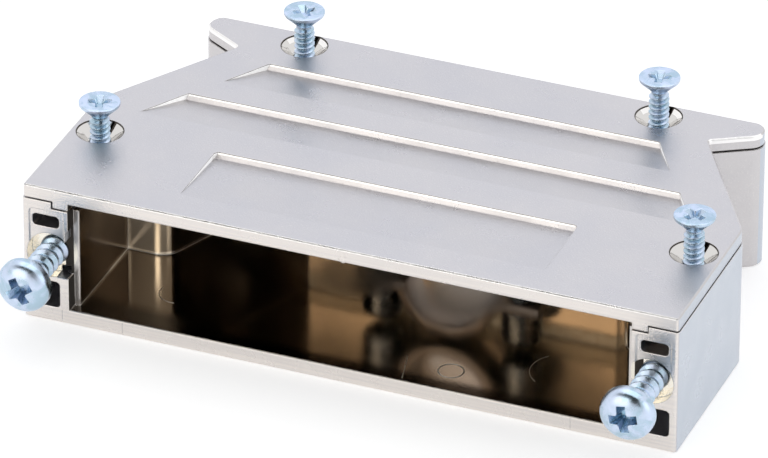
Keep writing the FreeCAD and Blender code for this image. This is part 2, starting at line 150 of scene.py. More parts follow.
def close_mesh(threshold: float) -> None:
    """Merge doubles and fill open ends of the mesh in edit mode.

    Args:
        threshold: Distance under which points are merged.
    """
    bpy.ops.mesh.select_all(action="SELECT")
    bpy.ops.mesh.remove_doubles(threshold=threshold)
    bpy.ops.mesh.select_all(action="DESELECT")
    bpy.ops.mesh.select_non_manifold()
    bpy.ops.mesh.fill_holes(sides=0)
    face_outward()


def block(name: str, size: Sequence[float], middle: Sequence[float] = (0, 0, 0)) -> Piece:
    """Add a cuboid.

    Args:
        name: Name of the new object.
        size: Its size along X, Y and Z.
        middle: Its middle.

    Returns:
        The cuboid, with its place in its mesh.
    """
    deselect_all()
    bpy.ops.mesh.primitive_cube_add(size=1, location=middle)
    piece = named(name)
    piece.scale = size
    apply_place()
    return piece


def polyline(name: str, profile: Profile) -> Piece:
    """Draw an open line in the XZ plane, ready to be spun or screwed about Z.

    Args:
        name: Name of the new object.
        profile: Points (radius, height), in metres.

    Returns:
        The object that holds the line.
    """
    deselect_all()
    bpy.ops.mesh.primitive_plane_add(size=MM)
    line = named(name)
    with edit_mode():
        bpy.ops.mesh.merge(type="CENTER")
        bpy.ops.transform.translate(value=(profile[0][0], 0, profile[0][1]))
        for (r0, z0), (r1, z1) in zip(profile, profile[1:]):
            bpy.ops.mesh.extrude_vertices_move(TRANSFORM_OT_translate={"value": (r1 - r0, 0, z1 - z0)})
    return line


def turned(name: str, profile: Profile, steps: int) -> Piece:
    """Turn a closed body of revolution about Z.

    Args:
        name: Name of the new object.
        profile: Points (radius, height) from one pole to the other; both poles lie on the axis.
        steps: Number of steps in the full turn.

    Returns:
        The turned object, closed, with its faces outward.
    """
    body = polyline(name, profile)
    with edit_mode():
        bpy.ops.mesh.spin(steps=steps, angle=2 * math.pi, center=(0, 0, 0), axis=(0, 0, 1))
        bpy.ops.mesh.select_all(action="SELECT")
        bpy.ops.mesh.remove_doubles(threshold=MERGE)
        face_outward()
    return body


def apply_modifier(piece: Piece, kind: str, **settings: object) -> None:
    """Add a modifier with its settings and apply it.

    Args:
        piece: Object that gets the modifier.
        kind: Type of the modifier.
        settings: Values for the modifier's own fields.
    """
    pick(piece)
    modifier = piece.modifiers.new(kind.title(), kind)
    for key, value in settings.items():
        setattr(modifier, key, value)
    bpy.ops.object.modifier_apply(modifier=modifier.name)


def boolean(piece: Piece, tool: Piece, operation: str) -> None:
    """Combine a tool body with a piece, and remove the tool.

    Args:
        piece: Object that is changed.
        tool: Closed body that is used up.
        operation: UNION, DIFFERENCE or INTERSECT.
    """
    apply_modifier(piece, "BOOLEAN", object=tool, operation=operation, solver="EXACT")
    bpy.data.objects.remove(tool)


def smooth(piece: Piece, angle: float = SMOOTH_ANGLE) -> None:
    """Shade a piece smooth where its faces meet at less than an angle in degrees."""
    pick(piece)
    bpy.ops.object.shade_smooth_by_angle(angle=math.radians(angle))


def settle(piece: Piece, matrix: Matrix) -> None:
    """Put a piece's place into its mesh, so that its object sits at the origin."""
    piece.matrix_world = matrix
    pick(piece)
    apply_place()


def copy_of(piece: Piece, name: str) -> Piece:
    """Copy a piece with a mesh of its own."""
    twin = piece.copy()
    twin.data = piece.data.copy()
    twin.name = name
    twin.data.name = name
    bpy.context.scene.collection.objects.link(twin)
    return twin


def dress(piece: Piece, material: bpy.types.Material) -> None:
    """Put a material on every slot of a piece, or add it where the piece has none."""
    if not piece.material_slots:
        piece.data.materials.append(material)
    for slot in piece.material_slots:
        slot.material = material


@dataclass
class NodeDesk:
    """Adds nodes to one node tree and links them.

    Attributes:
        tree: Tree of a material, of the world or of a group.
    """

    tree: Group

    def fill(self, node: Node, inputs: dict) -> None:
        """Fill sockets of a node, by name or number: a socket is linked, and a value is set."""
        for key, value in inputs.items():
            if isinstance(value, Socket):
                self.tree.links.new(value, node.inputs[key])
            else:
                node.inputs[key].default_value = value

    def add(self, kind: str, inputs: dict | None = None, **fields: object) -> Node:
        """Add a node.

        Args:
            kind: Type of the node.
            inputs: Sockets to fill, by name or number.
            fields: Values for the node's own fields.

        Returns:
            The new node.
        """
        node = self.tree.nodes.new(kind)
        for key, value in fields.items():
            setattr(node, key, value)
        self.fill(node, inputs or {})
        return node

    def effect(self, group: Group, **inputs: Value) -> Node:
        """Place a shared node group; an underscore in the name of an input stands for a space."""
        named_inputs = {key.replace("_", " "): value for key, value in inputs.items()}
        return self.add("ShaderNodeGroup", named_inputs, node_tree=group)

    def noise(self, place: Socket, scale: float, detail: float = 2.0) -> Socket:
        """Add a plain noise and take its value."""
        inputs = {"Vector": place, "Scale": scale, "Detail": detail}
        return self.add("ShaderNodeTexNoise", inputs).outputs["Fac"]

    def split(self, vector: Socket) -> Sequence[Socket]:
        """Take a vector apart into X, Y and Z."""
        return self.add("ShaderNodeSeparateXYZ", {0: vector}).outputs

    def math(self, operation: str, *values: Value) -> Socket:
        """Work out a number from values or sockets."""
        return self.add("ShaderNodeMath", dict(enumerate(values)), operation=operation).outputs[0]

    def all_of(self, *masks: Value) -> Socket:
        """Multiply masks, so that the result is 1 only where all of them are."""
        return reduce(partial(self.math, "MULTIPLY"), masks)

    def any_of(self, *masks: Value) -> Socket:
        """Take the highest of several masks."""
        return reduce(partial(self.math, "MAXIMUM"), masks)

    def rest_of(self, mask: Value) -> Socket:
        """Turn a mask round."""
        return self.math("SUBTRACT", 1.0, mask)

    def over(self, value: Value, limit: Value) -> Socket:
        """Mask of the values over a limit."""
        return self.math("GREATER_THAN", value, limit)

    def under(self, value: Value, limit: Value) -> Socket:
        """Mask of the values under a limit."""
        return self.math("LESS_THAN", value, limit)

    def between(self, value: Value, low: Value, high: Value) -> Socket:
        """Mask of the values between two limits."""
        return self.all_of(self.over(value, low), self.under(value, high))

    def ramp(self, value: Value, low: float, high: float) -> Socket:
        """Smooth step from 0 at low to 1 at high."""
        node = self.add("ShaderNodeMapRange", {0: value, 1: low, 2: high}, interpolation_type="SMOOTHSTEP")
        return node.outputs[0]

    def scale(self, value: Value, low: float, high: float) -> Socket:
        """Spread a value from 0..1 over low..high."""
        return self.add("ShaderNodeMapRange", {0: value, 3: low, 4: high}).outputs[0]

    def mix(self, ground: Value, *layers: tuple[Value, Value]) -> Socket:
        """Lay numbers over a number, each by its mask, as in (mask, number)."""
        for mask, number in layers:
            ground = self.add("ShaderNodeMix", {0: mask, 2: ground, 3: number}, data_type="FLOAT").outputs[0]
        return ground

    def paint(self, ground: Socket | Colour, *coats: tuple[Value, Socket | Colour]) -> Socket:
        """Lay coats of colour over a colour, each by its mask, as in (mask, colour)."""
        for mask, coat in coats:
            ground, coat = ((*tone, 1) if isinstance(tone, tuple) else tone for tone in (ground, coat))
            ground = self.add("ShaderNodeMix", {0: mask, 6: ground, 7: coat}, data_type="RGBA").outputs[2]
        return ground


FLOAT = "NodeSocketFloat"
VECTOR = "NodeSocketVector"
RAY_SAMPLES = 6
GRAIN_DETAIL = 2.0
GRAIN_ROUGHNESS = 0.6
PIT_SCALE_SHARE = 0.35
PIT_DISTANCES = (0.05, 0.22)
CLOUD_DETAIL = 3.0
CLOUD_LIMITS = (0.32, 0.68)
EDGE_AGREEMENT = (0.80, 0.998)
SHELTER_LIMITS = (0.30, 0.85)


def new_group(name: str, inputs: dict, outputs: dict) -> tuple[NodeDesk, Node, Node]:
    """Start a shader node group.

    Args:
        name: Name of the group.
        inputs: Default of each number that goes in, or None for a vector.
        outputs: Type of each socket that comes out.

    Returns:
        The group's desk, its input node and its output node.
    """
    group = bpy.data.node_groups.new(name, "ShaderNodeTree")
    for label, default in inputs.items():
        kind = VECTOR if default is None else FLOAT
        socket = group.interface.new_socket(label, in_out="INPUT", socket_type=kind)
        if default is not None:
            socket.default_value = default
    for label, kind in outputs.items():
        group.interface.new_socket(label, in_out="OUTPUT", socket_type=kind)
    desk = NodeDesk(group)
    return desk, desk.add("NodeGroupInput"), desk.add("NodeGroupOutput")


def fine_grain_group() -> Group:
    """Satin grain of a blasted casting: fine bumps and sparse tiny pits, as a height from 0 to 1."""
    inputs = {"Place": None, "Grains per Metre": 5000.0, "Pits": 0.3}
    desk, given, out = new_group("fine_grain", inputs, {"Height": FLOAT, "Speckle": FLOAT})
    place, scale, share = (given.outputs[label] for label in inputs)
    grain = desk.add("ShaderNodeTexNoise", {
        "Vector": place, "Scale": scale, "Detail": GRAIN_DETAIL, "Roughness": GRAIN_ROUGHNESS,
    }).outputs["Fac"]
    pit_scale = desk.all_of(scale, PIT_SCALE_SHARE)
    cells = desk.add("ShaderNodeTexVoronoi", {"Vector": place, "Scale": pit_scale}).outputs["Distance"]
    depth = desk.all_of(desk.rest_of(desk.ramp(cells, *PIT_DISTANCES)), share)
    desk.fill(out, {"Height": desk.math("SUBTRACT", grain, depth), "Speckle": grain})
    return desk.tree


def patches_group() -> Group:
    """Slow cloudy change over a surface, from 0 to 1, such as uneven plating or handling marks."""
    inputs = {"Place": None, "Patches per Metre": 120.0, "Stretch": 0.0}
    desk, given, out = new_group("patches", inputs, {"Value": FLOAT})
    place, scale, stretch = (given.outputs[label] for label in inputs)
    cloud = desk.add("ShaderNodeTexNoise", {
        "Vector": place, "Scale": scale, "Detail": CLOUD_DETAIL, "Distortion": stretch,
    }).outputs["Fac"]
    desk.fill(out, {"Value": desk.ramp(cloud, *CLOUD_LIMITS)})
    return desk.tree


def sharp_edge_group() -> Group:
    """Mask of the sharp edges of a piece, and its normal with those edges softened."""
    desk, given, out = new_group("worn_edge", {"Radius": 0.0001}, {"Mask": FLOAT, "Normal": VECTOR})
    soft = desk.add("ShaderNodeBevel", {"Radius": given.outputs["Radius"]}, samples=RAY_SAMPLES).outputs[0]
    true_normal = desk.add("ShaderNodeNewGeometry").outputs["Normal"]
    agreement = desk.add("ShaderNodeVectorMath", {0: soft, 1: true_normal}, operation="DOT_PRODUCT")
    mask = desk.rest_of(desk.ramp(agreement.outputs["Value"], *EDGE_AGREEMENT))
    desk.fill(out, {"Mask": mask, "Normal": soft})
    return desk.tree


def region_group() -> Group:
    """Mask that is 1 within a box and within its mirror image about X = 0."""
    inputs = {
        "Place": None, "Inner": -1.0, "Outer": 1.0, "Front": -1.0, "Rear": 1.0, "Bottom": -1.0, "Top": 1.0,
    }
    desk, given, out = new_group("region", inputs, {"Mask": FLOAT})
    x, y, z = desk.split(given.outputs["Place"])
    limits = ((desk.math("ABSOLUTE", x), "Inner", "Outer"), (y, "Front", "Rear"), (z, "Bottom", "Top"))
    masks = [desk.between(value, given.outputs[low], given.outputs[high]) for value, low, high in limits]
    desk.fill(out, {"Mask": desk.all_of(*masks)})
    return desk.tree


def axis_distance_group() -> Group:
    """Distance from an upright axis or from its mirror image about X = 0, whichever is nearer."""
    desk, given, out = new_group("axis_distance", {"Place": None, "X": 0.01, "Y": 0.0}, {"Distance": FLOAT})
    x, y, _ = desk.split(given.outputs["Place"])
    across = desk.math("SUBTRACT", desk.math("ABSOLUTE", x), given.outputs["X"])
    along = desk.math("SUBTRACT", y, given.outputs["Y"])
    square = desk.math("ADD", desk.all_of(across, across), desk.all_of(along, along))
    desk.fill(out, {"Distance": desk.math("SQRT", square)})
    return desk.tree


def crevice_shade_group() -> Group:
    """Mask of the narrow places of a piece, where painted shade darkens the colour."""
    desk, given, out = new_group("crevice", {"Distance": 0.0005}, {"Mask": FLOAT})
    reach = {"Distance": given.outputs["Distance"]}
    shelter = desk.add("ShaderNodeAmbientOcclusion", reach, samples=RAY_SAMPLES, only_local=True)
    desk.fill(out, {"Mask": desk.rest_of(desk.ramp(shelter.outputs["AO"], *SHELTER_LIMITS))})
    return desk.tree


@dataclass
class Effects:
    """Node groups that several finishes share, each built once."""

    grain: Group
    patches: Group
    edge: Group
    region: Group
    axis: Group
    crevice: Group

    @classmethod
    def build(cls) -> "Effects":
        """Build every group."""
        surface = (fine_grain_group, patches_group, sharp_edge_group)
        measures = (region_group, axis_distance_group, crevice_shade_group)
        return cls(*(make() for make in surface + measures))


def blank_material(name: str) -> tuple[bpy.types.Material, NodeDesk, Node, Socket]:
    """Start a material.

    Args:
        name: Name of the material.

    Returns:
        The material, its desk, its Principled shader and the socket with object coordinates.
    """
    material = bpy.data.materials.new(name)
    material.use_nodes = True
    desk = NodeDesk(material.node_tree)
    shader = material.node_tree.nodes["Principled BSDF"]
    place = desk.add("ShaderNodeTexCoord").outputs["Object"]
    return material, desk, shader, place


def showing_rays(desk: NodeDesk) -> Socket:
    """Mask of the rays that show a thing: to the camera, in a mirror or through glass."""
    rays = desk.add("ShaderNodeLightPath").outputs
    return desk.any_of(*(rays[f"Is {kind} Ray"] for kind in ("Camera", "Glossy", "Transmission")))


@dataclass(frozen=True)
class Region:
    """Box, with its mirror image about X = 0, that one part of a casting lies in."""

    inner: float
    outer: float
    front: float
    rear: float
    bottom: float
    top: float


# Least part of a face's normal along a direction for the face to count as looking that way
STRAIGHT = 0.9
MOSTLY = 0.7
ASLANT = 0.5
LEANING = 0.2


@dataclass(frozen=True)
class Survey:
    """Where a point of a casting lies and where its face looks, as sockets of one material.

    Attributes:
        desk: Desk of the material.
        effects: Shared node groups.
        place: Object coordinates, and x, y and z their parts.
        face_x: Part of the face's normal along X, and face_y and face_z those along Y and Z.
        across: How much the face looks to either side.
        level: How much the face looks up or down.
    """

    desk: NodeDesk
    effects: Effects
    place: Socket
    x: Socket
    y: Socket
    z: Socket
    face_x: Socket
    face_y: Socket
    face_z: Socket
    across: Socket
    level: Socket

    @classmethod
    def start(cls, desk: NodeDesk, effects: Effects, place: Socket) -> "Survey":
        """Add the nodes that read the place and the normal."""
        facing = desk.split(desk.add("ShaderNodeNewGeometry").outputs["Normal"])
        across, level = (desk.math("ABSOLUTE", facing[axis]) for axis in ("X", "Z"))
        return cls(desk, effects, place, *desk.split(place), *facing, across, level)

    def within(self, region: Region) -> Socket:
        """Mask of a region."""
        limits = {label.title(): limit for label, limit in asdict(region).items()}
        return self.desk.effect(self.effects.region, Place=self.place, **limits).outputs["Mask"]

    def distance(self, x: float, y: float) -> Socket:
        """Distance from an upright axis and its mirror image."""
        return self.desk.effect(self.effects.axis, Place=self.place, X=x, Y=y).outputs["Distance"]

    def level_distance(self, x: float, z: float) -> Socket:
        """Distance from an axis that runs to the rear, and its mirror image."""
        tipped = self.desk.add("ShaderNodeCombineXYZ", {0: self.x, 1: self.z, 2: self.y}).outputs[0]
        return self.desk.effect(self.effects.axis, Place=tipped, X=x, Y=z).outputs["Distance"]


@dataclass(frozen=True)
class NickelMasks:
    """Masks of the castings' parts: what is inside, and which faces look where."""

    inside: Socket
    level: Socket
    front: Socket
    cover: Socket
    side: Socket
    plate_side: Socket
    sink: Socket
    sink_rim: Socket
    sink_wedge: Socket
    step: Socket
    step_line: Socket
    grip_side: Socket
    edge_line: Socket
    ear_joint: Socket
    ceiling: Socket
    dark_ceiling: Socket
    bore: Socket
    dull: Socket
    floor_marks: Socket
    inner_side: Socket
    inner_front: Socket
    rough_band: Socket
    band_line: Socket


@dataclass(frozen=True)
class CastingPlaces:
    """Where the parts of the two castings lie that differ in their look."""

    # Space for the connector, the space behind it, and the space just under the cover over both
    chamber: Region = Region(-1.0, 0.02995, -0.0194, -0.0040, 0.0015, 0.01395)
    wiring: Region = Region(-1.0, 0.0252, -0.0045, 0.0145, 0.0015, 0.01395)
    front_ceiling: Region = Region(-1.0, 0.0300, -0.0194, 0.0008, 0.0136, 0.0140)

    # Inner edges of the two front plates, and the ends of the walls beside them, dark as painted shade
    plate_edge: Region = Region(0.0296, 0.0299, -0.0195, -0.0180, 0.0015, 0.0138)
    wall_gap: Region = Region(0.0297, 0.0306, -0.0184, -0.0178, 0.0015, 0.0138)
    wall_ends: float = -0.0178

    # Grip recesses, and the width of the line of painted shade at their upper edge
    grips: Region = Region(-1.0, 0.0298, -0.0185, 0.0125, 0.0144, 0.01519)
    step_line: float = 0.00006

    # Joint under the cover's ears, where the ears start, and the widths of the painted highlight along the top
    # edge before and on them
    ear_joints: Region = Region(0.0200, 1.0, 0.0130, 1.0, 0.01364, 0.01386)
    ear_start: float = 0.0130
    edge_widths: Pair = (0.00020, 0.00050)

    # Cover: its top and the joint at its foot
    top: float = 0.0152
    cover_foot: float = 0.0138

    # Counterbores round the flange screws, pale as painted reflection: place in X and Z, radius, and depths
    # between which they lie
    bores: tuple[float, float, float] = (0.03175, 0.0076, 0.00247)
    bore_depths: Pair = (-0.01943, -0.0180)

    # Countersinks: places, radius, depth, width of the rim of painted shade, and the turn of their wedge of
    # painted shade
    sinks: tuple[Pair, Pair] = ((0.0316, -0.00695), (0.01923, 0.01685))
    sink_radius: float = 0.00245
    sink_depth: float = 0.0014
    sink_rim: float = 0.00012
    wedge_turn: Pair = (-0.27, -0.10)

    # Floor: heights of what stands up from it, whose marks are pale as painted highlight, its skin, a dark,
    # dull spot with its radius and fully dark core, and the limits in Y and X of the strip of painted shade
    # that darkens towards the front left corner
    mark_heights: Pair = (0.001606, 0.001660)
    floor_skin: float = 0.0018
    dull_spot: tuple[float, float, float] = (0.0058, -0.0020, 0.0060)
    dull_core: float = 0.4
    front_strip: Pair = (-0.0174, -0.0150)
    strip_reach: Pair = (-0.0200, -0.0150)

    # Rough strip where the rear wall meets the cover: its foot, the line under it and the wall's depth
    band_foot: float = 0.0119
    band_line: float = 0.00012
    rear_wall: float = 0.011

    def dullness(self, survey: Survey) -> Socket:
        """Mask of the dark, dull spot and of the strip of painted shade towards the front left corner, before
        they are limited to the floor.
        """
        desk = survey.desk
        x, y, radius = self.dull_spot
        spot = desk.rest_of(desk.ramp(survey.distance(x, y), self.dull_core * radius, radius))
        towards_front = desk.rest_of(desk.ramp(survey.y, *self.front_strip))
        towards_left = desk.rest_of(desk.ramp(survey.x, *self.strip_reach))
        return desk.any_of(spot, desk.all_of(towards_front, towards_left))

    def masks(self, survey: Survey) -> NickelMasks:
        """Add the masks of the castings' parts.

        Args:
            survey: Place and direction of the face.

        Returns:
            The masks.
        """
        desk, within = survey.desk, survey.within
        wiring = within(self.wiring)
        cavity = desk.any_of(within(self.chamber), wiring)
        forward = desk.under(survey.face_y, -MOSTLY)
        downward = desk.under(survey.face_z, -STRAIGHT)
        leaning = desk.under(survey.face_y, -LEANING)
        inward = desk.under(desk.all_of(survey.face_x, survey.x), 0.0)
        sideways = desk.over(survey.across, MOSTLY)
        front = desk.all_of(forward, desk.under(survey.y, self.wall_ends))

        sink_distance = desk.math("MINIMUM", *(survey.distance(*spot) for spot in self.sinks))
        upper = desk.over(survey.z, self.top - self.sink_depth)
        sink = desk.all_of(upper, desk.under(sink_distance, self.sink_radius))
        sink_rim = desk.over(sink_distance, self.sink_radius - self.sink_rim)
        wedge = desk.all_of(leaning, desk.between(survey.face_x, *self.wedge_turn))

        grip = desk.all_of(within(self.grips), desk.rest_of(sink))
        steep = desk.all_of(grip, desk.under(survey.level, MOSTLY))
        ear = desk.all_of(leaning, desk.over(survey.y, self.ear_start))
        front_width, ear_width = self.edge_widths
        edge_foot = desk.math("SUBTRACT", self.top, desk.mix(front_width, (ear, ear_width)))

        bore_x, bore_z, bore_radius = self.bores
        in_bore = desk.under(survey.level_distance(bore_x, bore_z), bore_radius)
        rear_wall = desk.all_of(forward, wiring, desk.over(survey.y, self.rear_wall))
        return NickelMasks(
            inside=desk.all_of(cavity, desk.rest_of(front)),
            level=desk.over(survey.level, STRAIGHT),
            front=front,
            cover=desk.over(survey.z, self.cover_foot),
            side=desk.over(survey.across, STRAIGHT),
            # Plates' inner sides and the wall ends beside them, which get painted shade
            plate_side=desk.any_of(
                desk.all_of(within(self.plate_edge), sideways), desk.all_of(within(self.wall_gap), forward)
            ),
            sink=sink,
            sink_rim=desk.all_of(sink_rim, sink),
            sink_wedge=desk.all_of(sink, wedge),
            step=desk.all_of(grip, desk.under(survey.face_y, -STRAIGHT)),
            # Grips: a line of painted shade at the top edge of the steps, and painted highlight on their end
            # walls; the top edges get painted highlight too
            step_line=desk.all_of(steep, desk.over(survey.z, self.top - self.step_line)),
            grip_side=desk.all_of(steep, inward, desk.over(survey.across, ASLANT)),
            edge_line=desk.all_of(desk.any_of(forward, ear), desk.over(survey.z, edge_foot)),
            ear_joint=desk.all_of(leaning, within(self.ear_joints)),
            ceiling=desk.all_of(cavity, downward),
            dark_ceiling=desk.all_of(within(self.front_ceiling), downward),
            bore=desk.all_of(in_bore, desk.between(survey.y, *self.bore_depths)),
            dull=desk.all_of(self.dullness(survey), cavity, desk.under(survey.z, self.floor_skin)),
            floor_marks=desk.all_of(cavity, desk.between(survey.z, *self.mark_heights)),
            # Inner faces that look across get painted shade, and those that look to the front get painted
            # light
            inner_side=desk.all_of(cavity, sideways),
            inner_front=desk.all_of(cavity, forward),
            rough_band=desk.all_of(rear_wall, desk.over(survey.z, self.band_foot)),
            band_line=desk.all_of(
                rear_wall, desk.between(survey.z, self.band_foot, self.band_foot + self.band_line)
            ),
        )


@dataclass(frozen=True)
class NickelFinish:
    """Satin nickel plate on zinc: blasted outside, smooth and brown-tinted inside, with painted light and
    painted shade by the way faces look, and painted highlights and dark lines on edges.
    """

    name: str = "satin_nickel"
    places: CastingPlaces = CastingPlaces()

    # Blasted outer faces, the colour that they drift to in patches, front edges and faces lighter as painted
    # warm light, and side walls tinted as painted cool light
    outside: Colour = (0.595, 0.575, 0.580)
    tint: Colour = (0.550, 0.540, 0.562)
    front: Colour = (0.778, 0.730, 0.692)
    side: Colour = (0.545, 0.583, 0.642)

    # Inner faces: floor; those that look across, darker as painted shade; those that look to the front,
    # lighter as painted light; the cover's underside at the front, dark as painted shade
    inside: Colour = (0.700, 0.605, 0.500)
    inner_side: Colour = (0.250, 0.200, 0.160)
    inner_front: Colour = (1.000, 0.880, 0.700)
    ceiling: Colour = (0.060, 0.043, 0.030)

    # Counterbores and floor marks, pale as painted reflection; countersinks; edges and speckle, lighter as
    # wear and as painted highlight; painted highlight on top edges and grip walls; and a dark colour for lines
    # and floor places, mostly painted shade, also for the dark joint under the ears
    bore: Colour = (0.900, 0.850, 0.750)
    sink_metal: Colour = (0.720, 0.705, 0.690)
    edge: Colour = (0.820, 0.790, 0.750)
    bright: Colour = (0.940, 0.925, 0.915)
    shade: Colour = (0.070, 0.062, 0.055)

    # Two colours each of the rough strip inside and of the grips' rough-cast steps, and where they change
    band: tuple[Colour, Colour] = ((0.700, 0.550, 0.360), (1.000, 0.900, 0.680))
    band_limits: Pair = (0.36, 0.62)
    step: tuple[Colour, Colour] = ((0.560, 0.520, 0.450), (0.900, 0.860, 0.780))
    step_limits: Pair = (0.38, 0.60)

    # Strength of each pattern in the colour
    plating_share: float = 0.6
    speckle_share: float = 0.30
    speckle_limits: Pair = (0.55, 0.75)
    front_share: float = 0.25
    streak_limits: Pair = (0.35, 0.65)
    dull_share: float = 0.65
    worn_share: float = 0.55

    # Patterns per metre and their stretch; streaks run along the front edges
    plating_patches: Pair = (95.0, 0.4)
    smear_patches: Pair = (260.0, 0.2)
    streaks: tuple[float, float, float] = (60.0, 60.0, 3500.0)
    cast_lumps: float = 5200.0
    grains: float = 6000.0
    pits: float = 0.35
    grain_height: float = 0.000028

    # Roughness, from the least to the most smeared, and plain values of small parts
    outer_roughness: Pair = (0.27, 0.36)
    front_roughness: Pair = (0.20, 0.34)
    floor_roughness: Pair = (0.04, 0.08)
    wall_roughness: Pair = (0.12, 0.22)
    ceiling_roughness: float = 0.16
    band_roughness: float = 0.14
    dull_roughness: float = 0.22
    mark_roughness: float = 0.45
    hole_roughness: float = 0.10

    # Rounding of outer edges, of the front edges below the cover, and of inner corners
    edge_radius: float = 0.00012
    front_radius: float = 0.00022
    fillet: float = 0.00060

    # How far the grain fades on smooth parts and grows on rough ones, and how far end walls lean upward
    smooth_share: float = 0.93
    rough_gain: float = 4.0
    wall_lift: float = 1.9

    # Share of plain, unmetallic brightness on inner front faces and on the grips' steps
    inner_haze: float = 0.3
    step_haze: float = 0.7
    specular: float = 0.5

    def patches(self, survey: Survey, pattern: Pair) -> Socket:
        """Add cloudy patches, given their number per metre and their stretch."""
        per_metre, stretch = pattern
        clouds = {"Place": survey.place, "Patches_per_Metre": per_metre, "Stretch": stretch}
        return survey.desk.effect(survey.effects.patches, **clouds).outputs["Value"]

    def colour(self, survey: Survey, masks: NickelMasks, speckle: Socket, wear_and_sheen: Socket) -> Socket:
        """Mix the colour.

        Args:
            survey: Place and direction of the face.
            masks: Masks of the castings' parts.
            speckle: Fine grain from 0 to 1.
            wear_and_sheen: Mask of the sharp edges, lighter as wear and as painted highlight.

        Returns:
            The colour.
        """
        desk, place = survey.desk, survey.place
        brushed = desk.add("ShaderNodeVectorMath", {0: place, 1: self.streaks}, operation="MULTIPLY")
        streaks = desk.ramp(desk.noise(brushed.outputs[0], 1.0, detail=1.0), *self.streak_limits)
        rough_cast = desk.noise(place, self.cast_lumps, detail=1.0)
        fronts = desk.paint(desk.paint(self.front, (self.front_share, self.outside)), (streaks, self.front))
        step_dark, step_light = self.step
        steps = desk.paint(step_dark, (desk.ramp(rough_cast, *self.step_limits), step_light))
        band_dark, band_light = self.band
        band = desk.paint(band_dark, (desk.ramp(rough_cast, *self.band_limits), band_light))
        # Outside: front faces lighter as painted warm light, side walls bluish as painted cool light
        outer = desk.paint(
            self.outside,
            (desk.all_of(self.patches(survey, self.plating_patches), self.plating_share), self.tint),
            (desk.all_of(desk.ramp(speckle, *self.speckle_limits), self.speckle_share), self.edge),
            (masks.side, self.side),
            (masks.front, fronts),
            (masks.step, steps),
        )
        # Inside: painted shade on faces that look across and under the front of the cover, painted light on
        # faces that look to the front
        inner = desk.paint(
            self.inside,
            (masks.inner_side, self.inner_side),
            (masks.inner_front, self.inner_front),
            (masks.dark_ceiling, self.ceiling),
            # Dark, dull spot on the floor, and painted shade on the strip towards the front left corner
            (desk.all_of(masks.dull, self.dull_share), self.shade),
            # Floor marks pale as painted highlight
            (masks.floor_marks, self.bore),
            (masks.rough_band, band),
        )
        dark_sink = desk.any_of(masks.sink_rim, masks.sink_wedge)
        lines = desk.any_of(dark_sink, masks.plate_side, masks.step_line, masks.band_line, masks.ear_joint)
        return desk.paint(
            outer,
            (masks.inside, inner),
            # Sharp edges lighter, as wear and as painted highlight
            (desk.all_of(wear_and_sheen, self.worn_share), self.edge),
            # Counterbores pale as painted reflection
            (masks.bore, self.bore),
            (masks.sink, self.sink_metal),
            # Painted highlight along the top edges and on the grips' end walls
            (desk.any_of(masks.edge_line, masks.grip_side), self.bright),
            # Dark lines: painted shade at the countersinks, the plates' inner sides and the grips' top edges;
            # also the line under the rear strip and the dark joint under the ears
            (lines, self.shade),
        )

    def roughness(self, survey: Survey, masks: NickelMasks) -> Socket:
        """Mix the roughness.

        Args:
            survey: Place and direction of the face.
            masks: Masks of the castings' parts.

        Returns:
            The roughness.
        """
        desk = survey.desk
        smears = self.patches(survey, self.smear_patches)
        spreads = (self.outer_roughness, self.front_roughness, self.wall_roughness, self.floor_roughness)
        outer, front, walls, floor = (desk.scale(smears, *spread) for spread in spreads)
        inner = desk.mix(
            walls,
            (masks.level, floor),
            (masks.ceiling, self.ceiling_roughness),
            (masks.rough_band, self.band_roughness),
            (masks.dull, self.dull_roughness),
            (masks.floor_marks, self.mark_roughness),
        )
        holes = desk.any_of(masks.sink, masks.bore)
        return desk.mix(outer, (masks.front, front), (masks.inside, inner), (holes, self.hole_roughness))

    def normal(self, desk: NodeDesk, masks: NickelMasks, soft_normal: Socket, grain: Socket) -> Socket:
        """Work out the normal: soft edges, leaning grip ends and grain.

        Args:
            desk: Desk of the material.
            masks: Masks of the castings' parts.
            soft_normal: Normal with rounded edges.
            grain: Height of the grain.

        Returns:
            The normal.
        """
        fading = desk.all_of(desk.any_of(masks.inside, masks.sink), self.smooth_share)
        growth = desk.all_of(desk.any_of(masks.step, masks.rough_band), self.rough_gain)
        height = desk.all_of(grain, desk.math("ADD", desk.rest_of(fading), growth))
        lift = desk.add("ShaderNodeCombineXYZ", {2: desk.all_of(masks.grip_side, self.wall_lift)}).outputs[0]
        lifted = desk.add("ShaderNodeVectorMath", {0: soft_normal, 1: lift}, operation="ADD").outputs[0]
        unit = desk.add("ShaderNodeVectorMath", {0: lifted}, operation="NORMALIZE").outputs[0]
        bump = {"Height": height, "Distance": self.grain_height, "Normal": unit}
        return desk.add("ShaderNodeBump", bump).outputs[0]

    def material(self, effects: Effects) -> bpy.types.Material:
        """Build the material.

        Args:
            effects: Shared node groups.

        Returns:
            The material.
        """
        material, desk, shader, place = blank_material(self.name)
        survey = Survey.start(desk, effects, place)
        masks = self.places.masks(survey)
        grain = desk.effect(effects.grain, Place=place, Grains_per_Metre=self.grains, Pits=self.pits).outputs
        below_cover = desk.all_of(masks.front, desk.rest_of(masks.cover))
        radius = desk.mix(self.edge_radius, (below_cover, self.front_radius), (masks.inside, self.fillet))
        edge = desk.effect(effects.edge, Radius=radius).outputs
        haze = desk.any_of(
            desk.all_of(masks.step, self.step_haze), desk.all_of(masks.inner_front, self.inner_haze)
        )
        # The plates' inner sides lose metal and sheen, dark as painted shade
        desk.fill(shader, {
            "Base Color": self.colour(survey, masks, grain["Speckle"], edge["Mask"]),
            "Metallic": desk.rest_of(desk.any_of(haze, masks.plate_side)),
            "Roughness": self.roughness(survey, masks),
            "Specular IOR Level": desk.all_of(desk.rest_of(masks.plate_side), self.specular),
            "Normal": self.normal(desk, masks, edge["Normal"], grain["Height"]),
        })
        return material


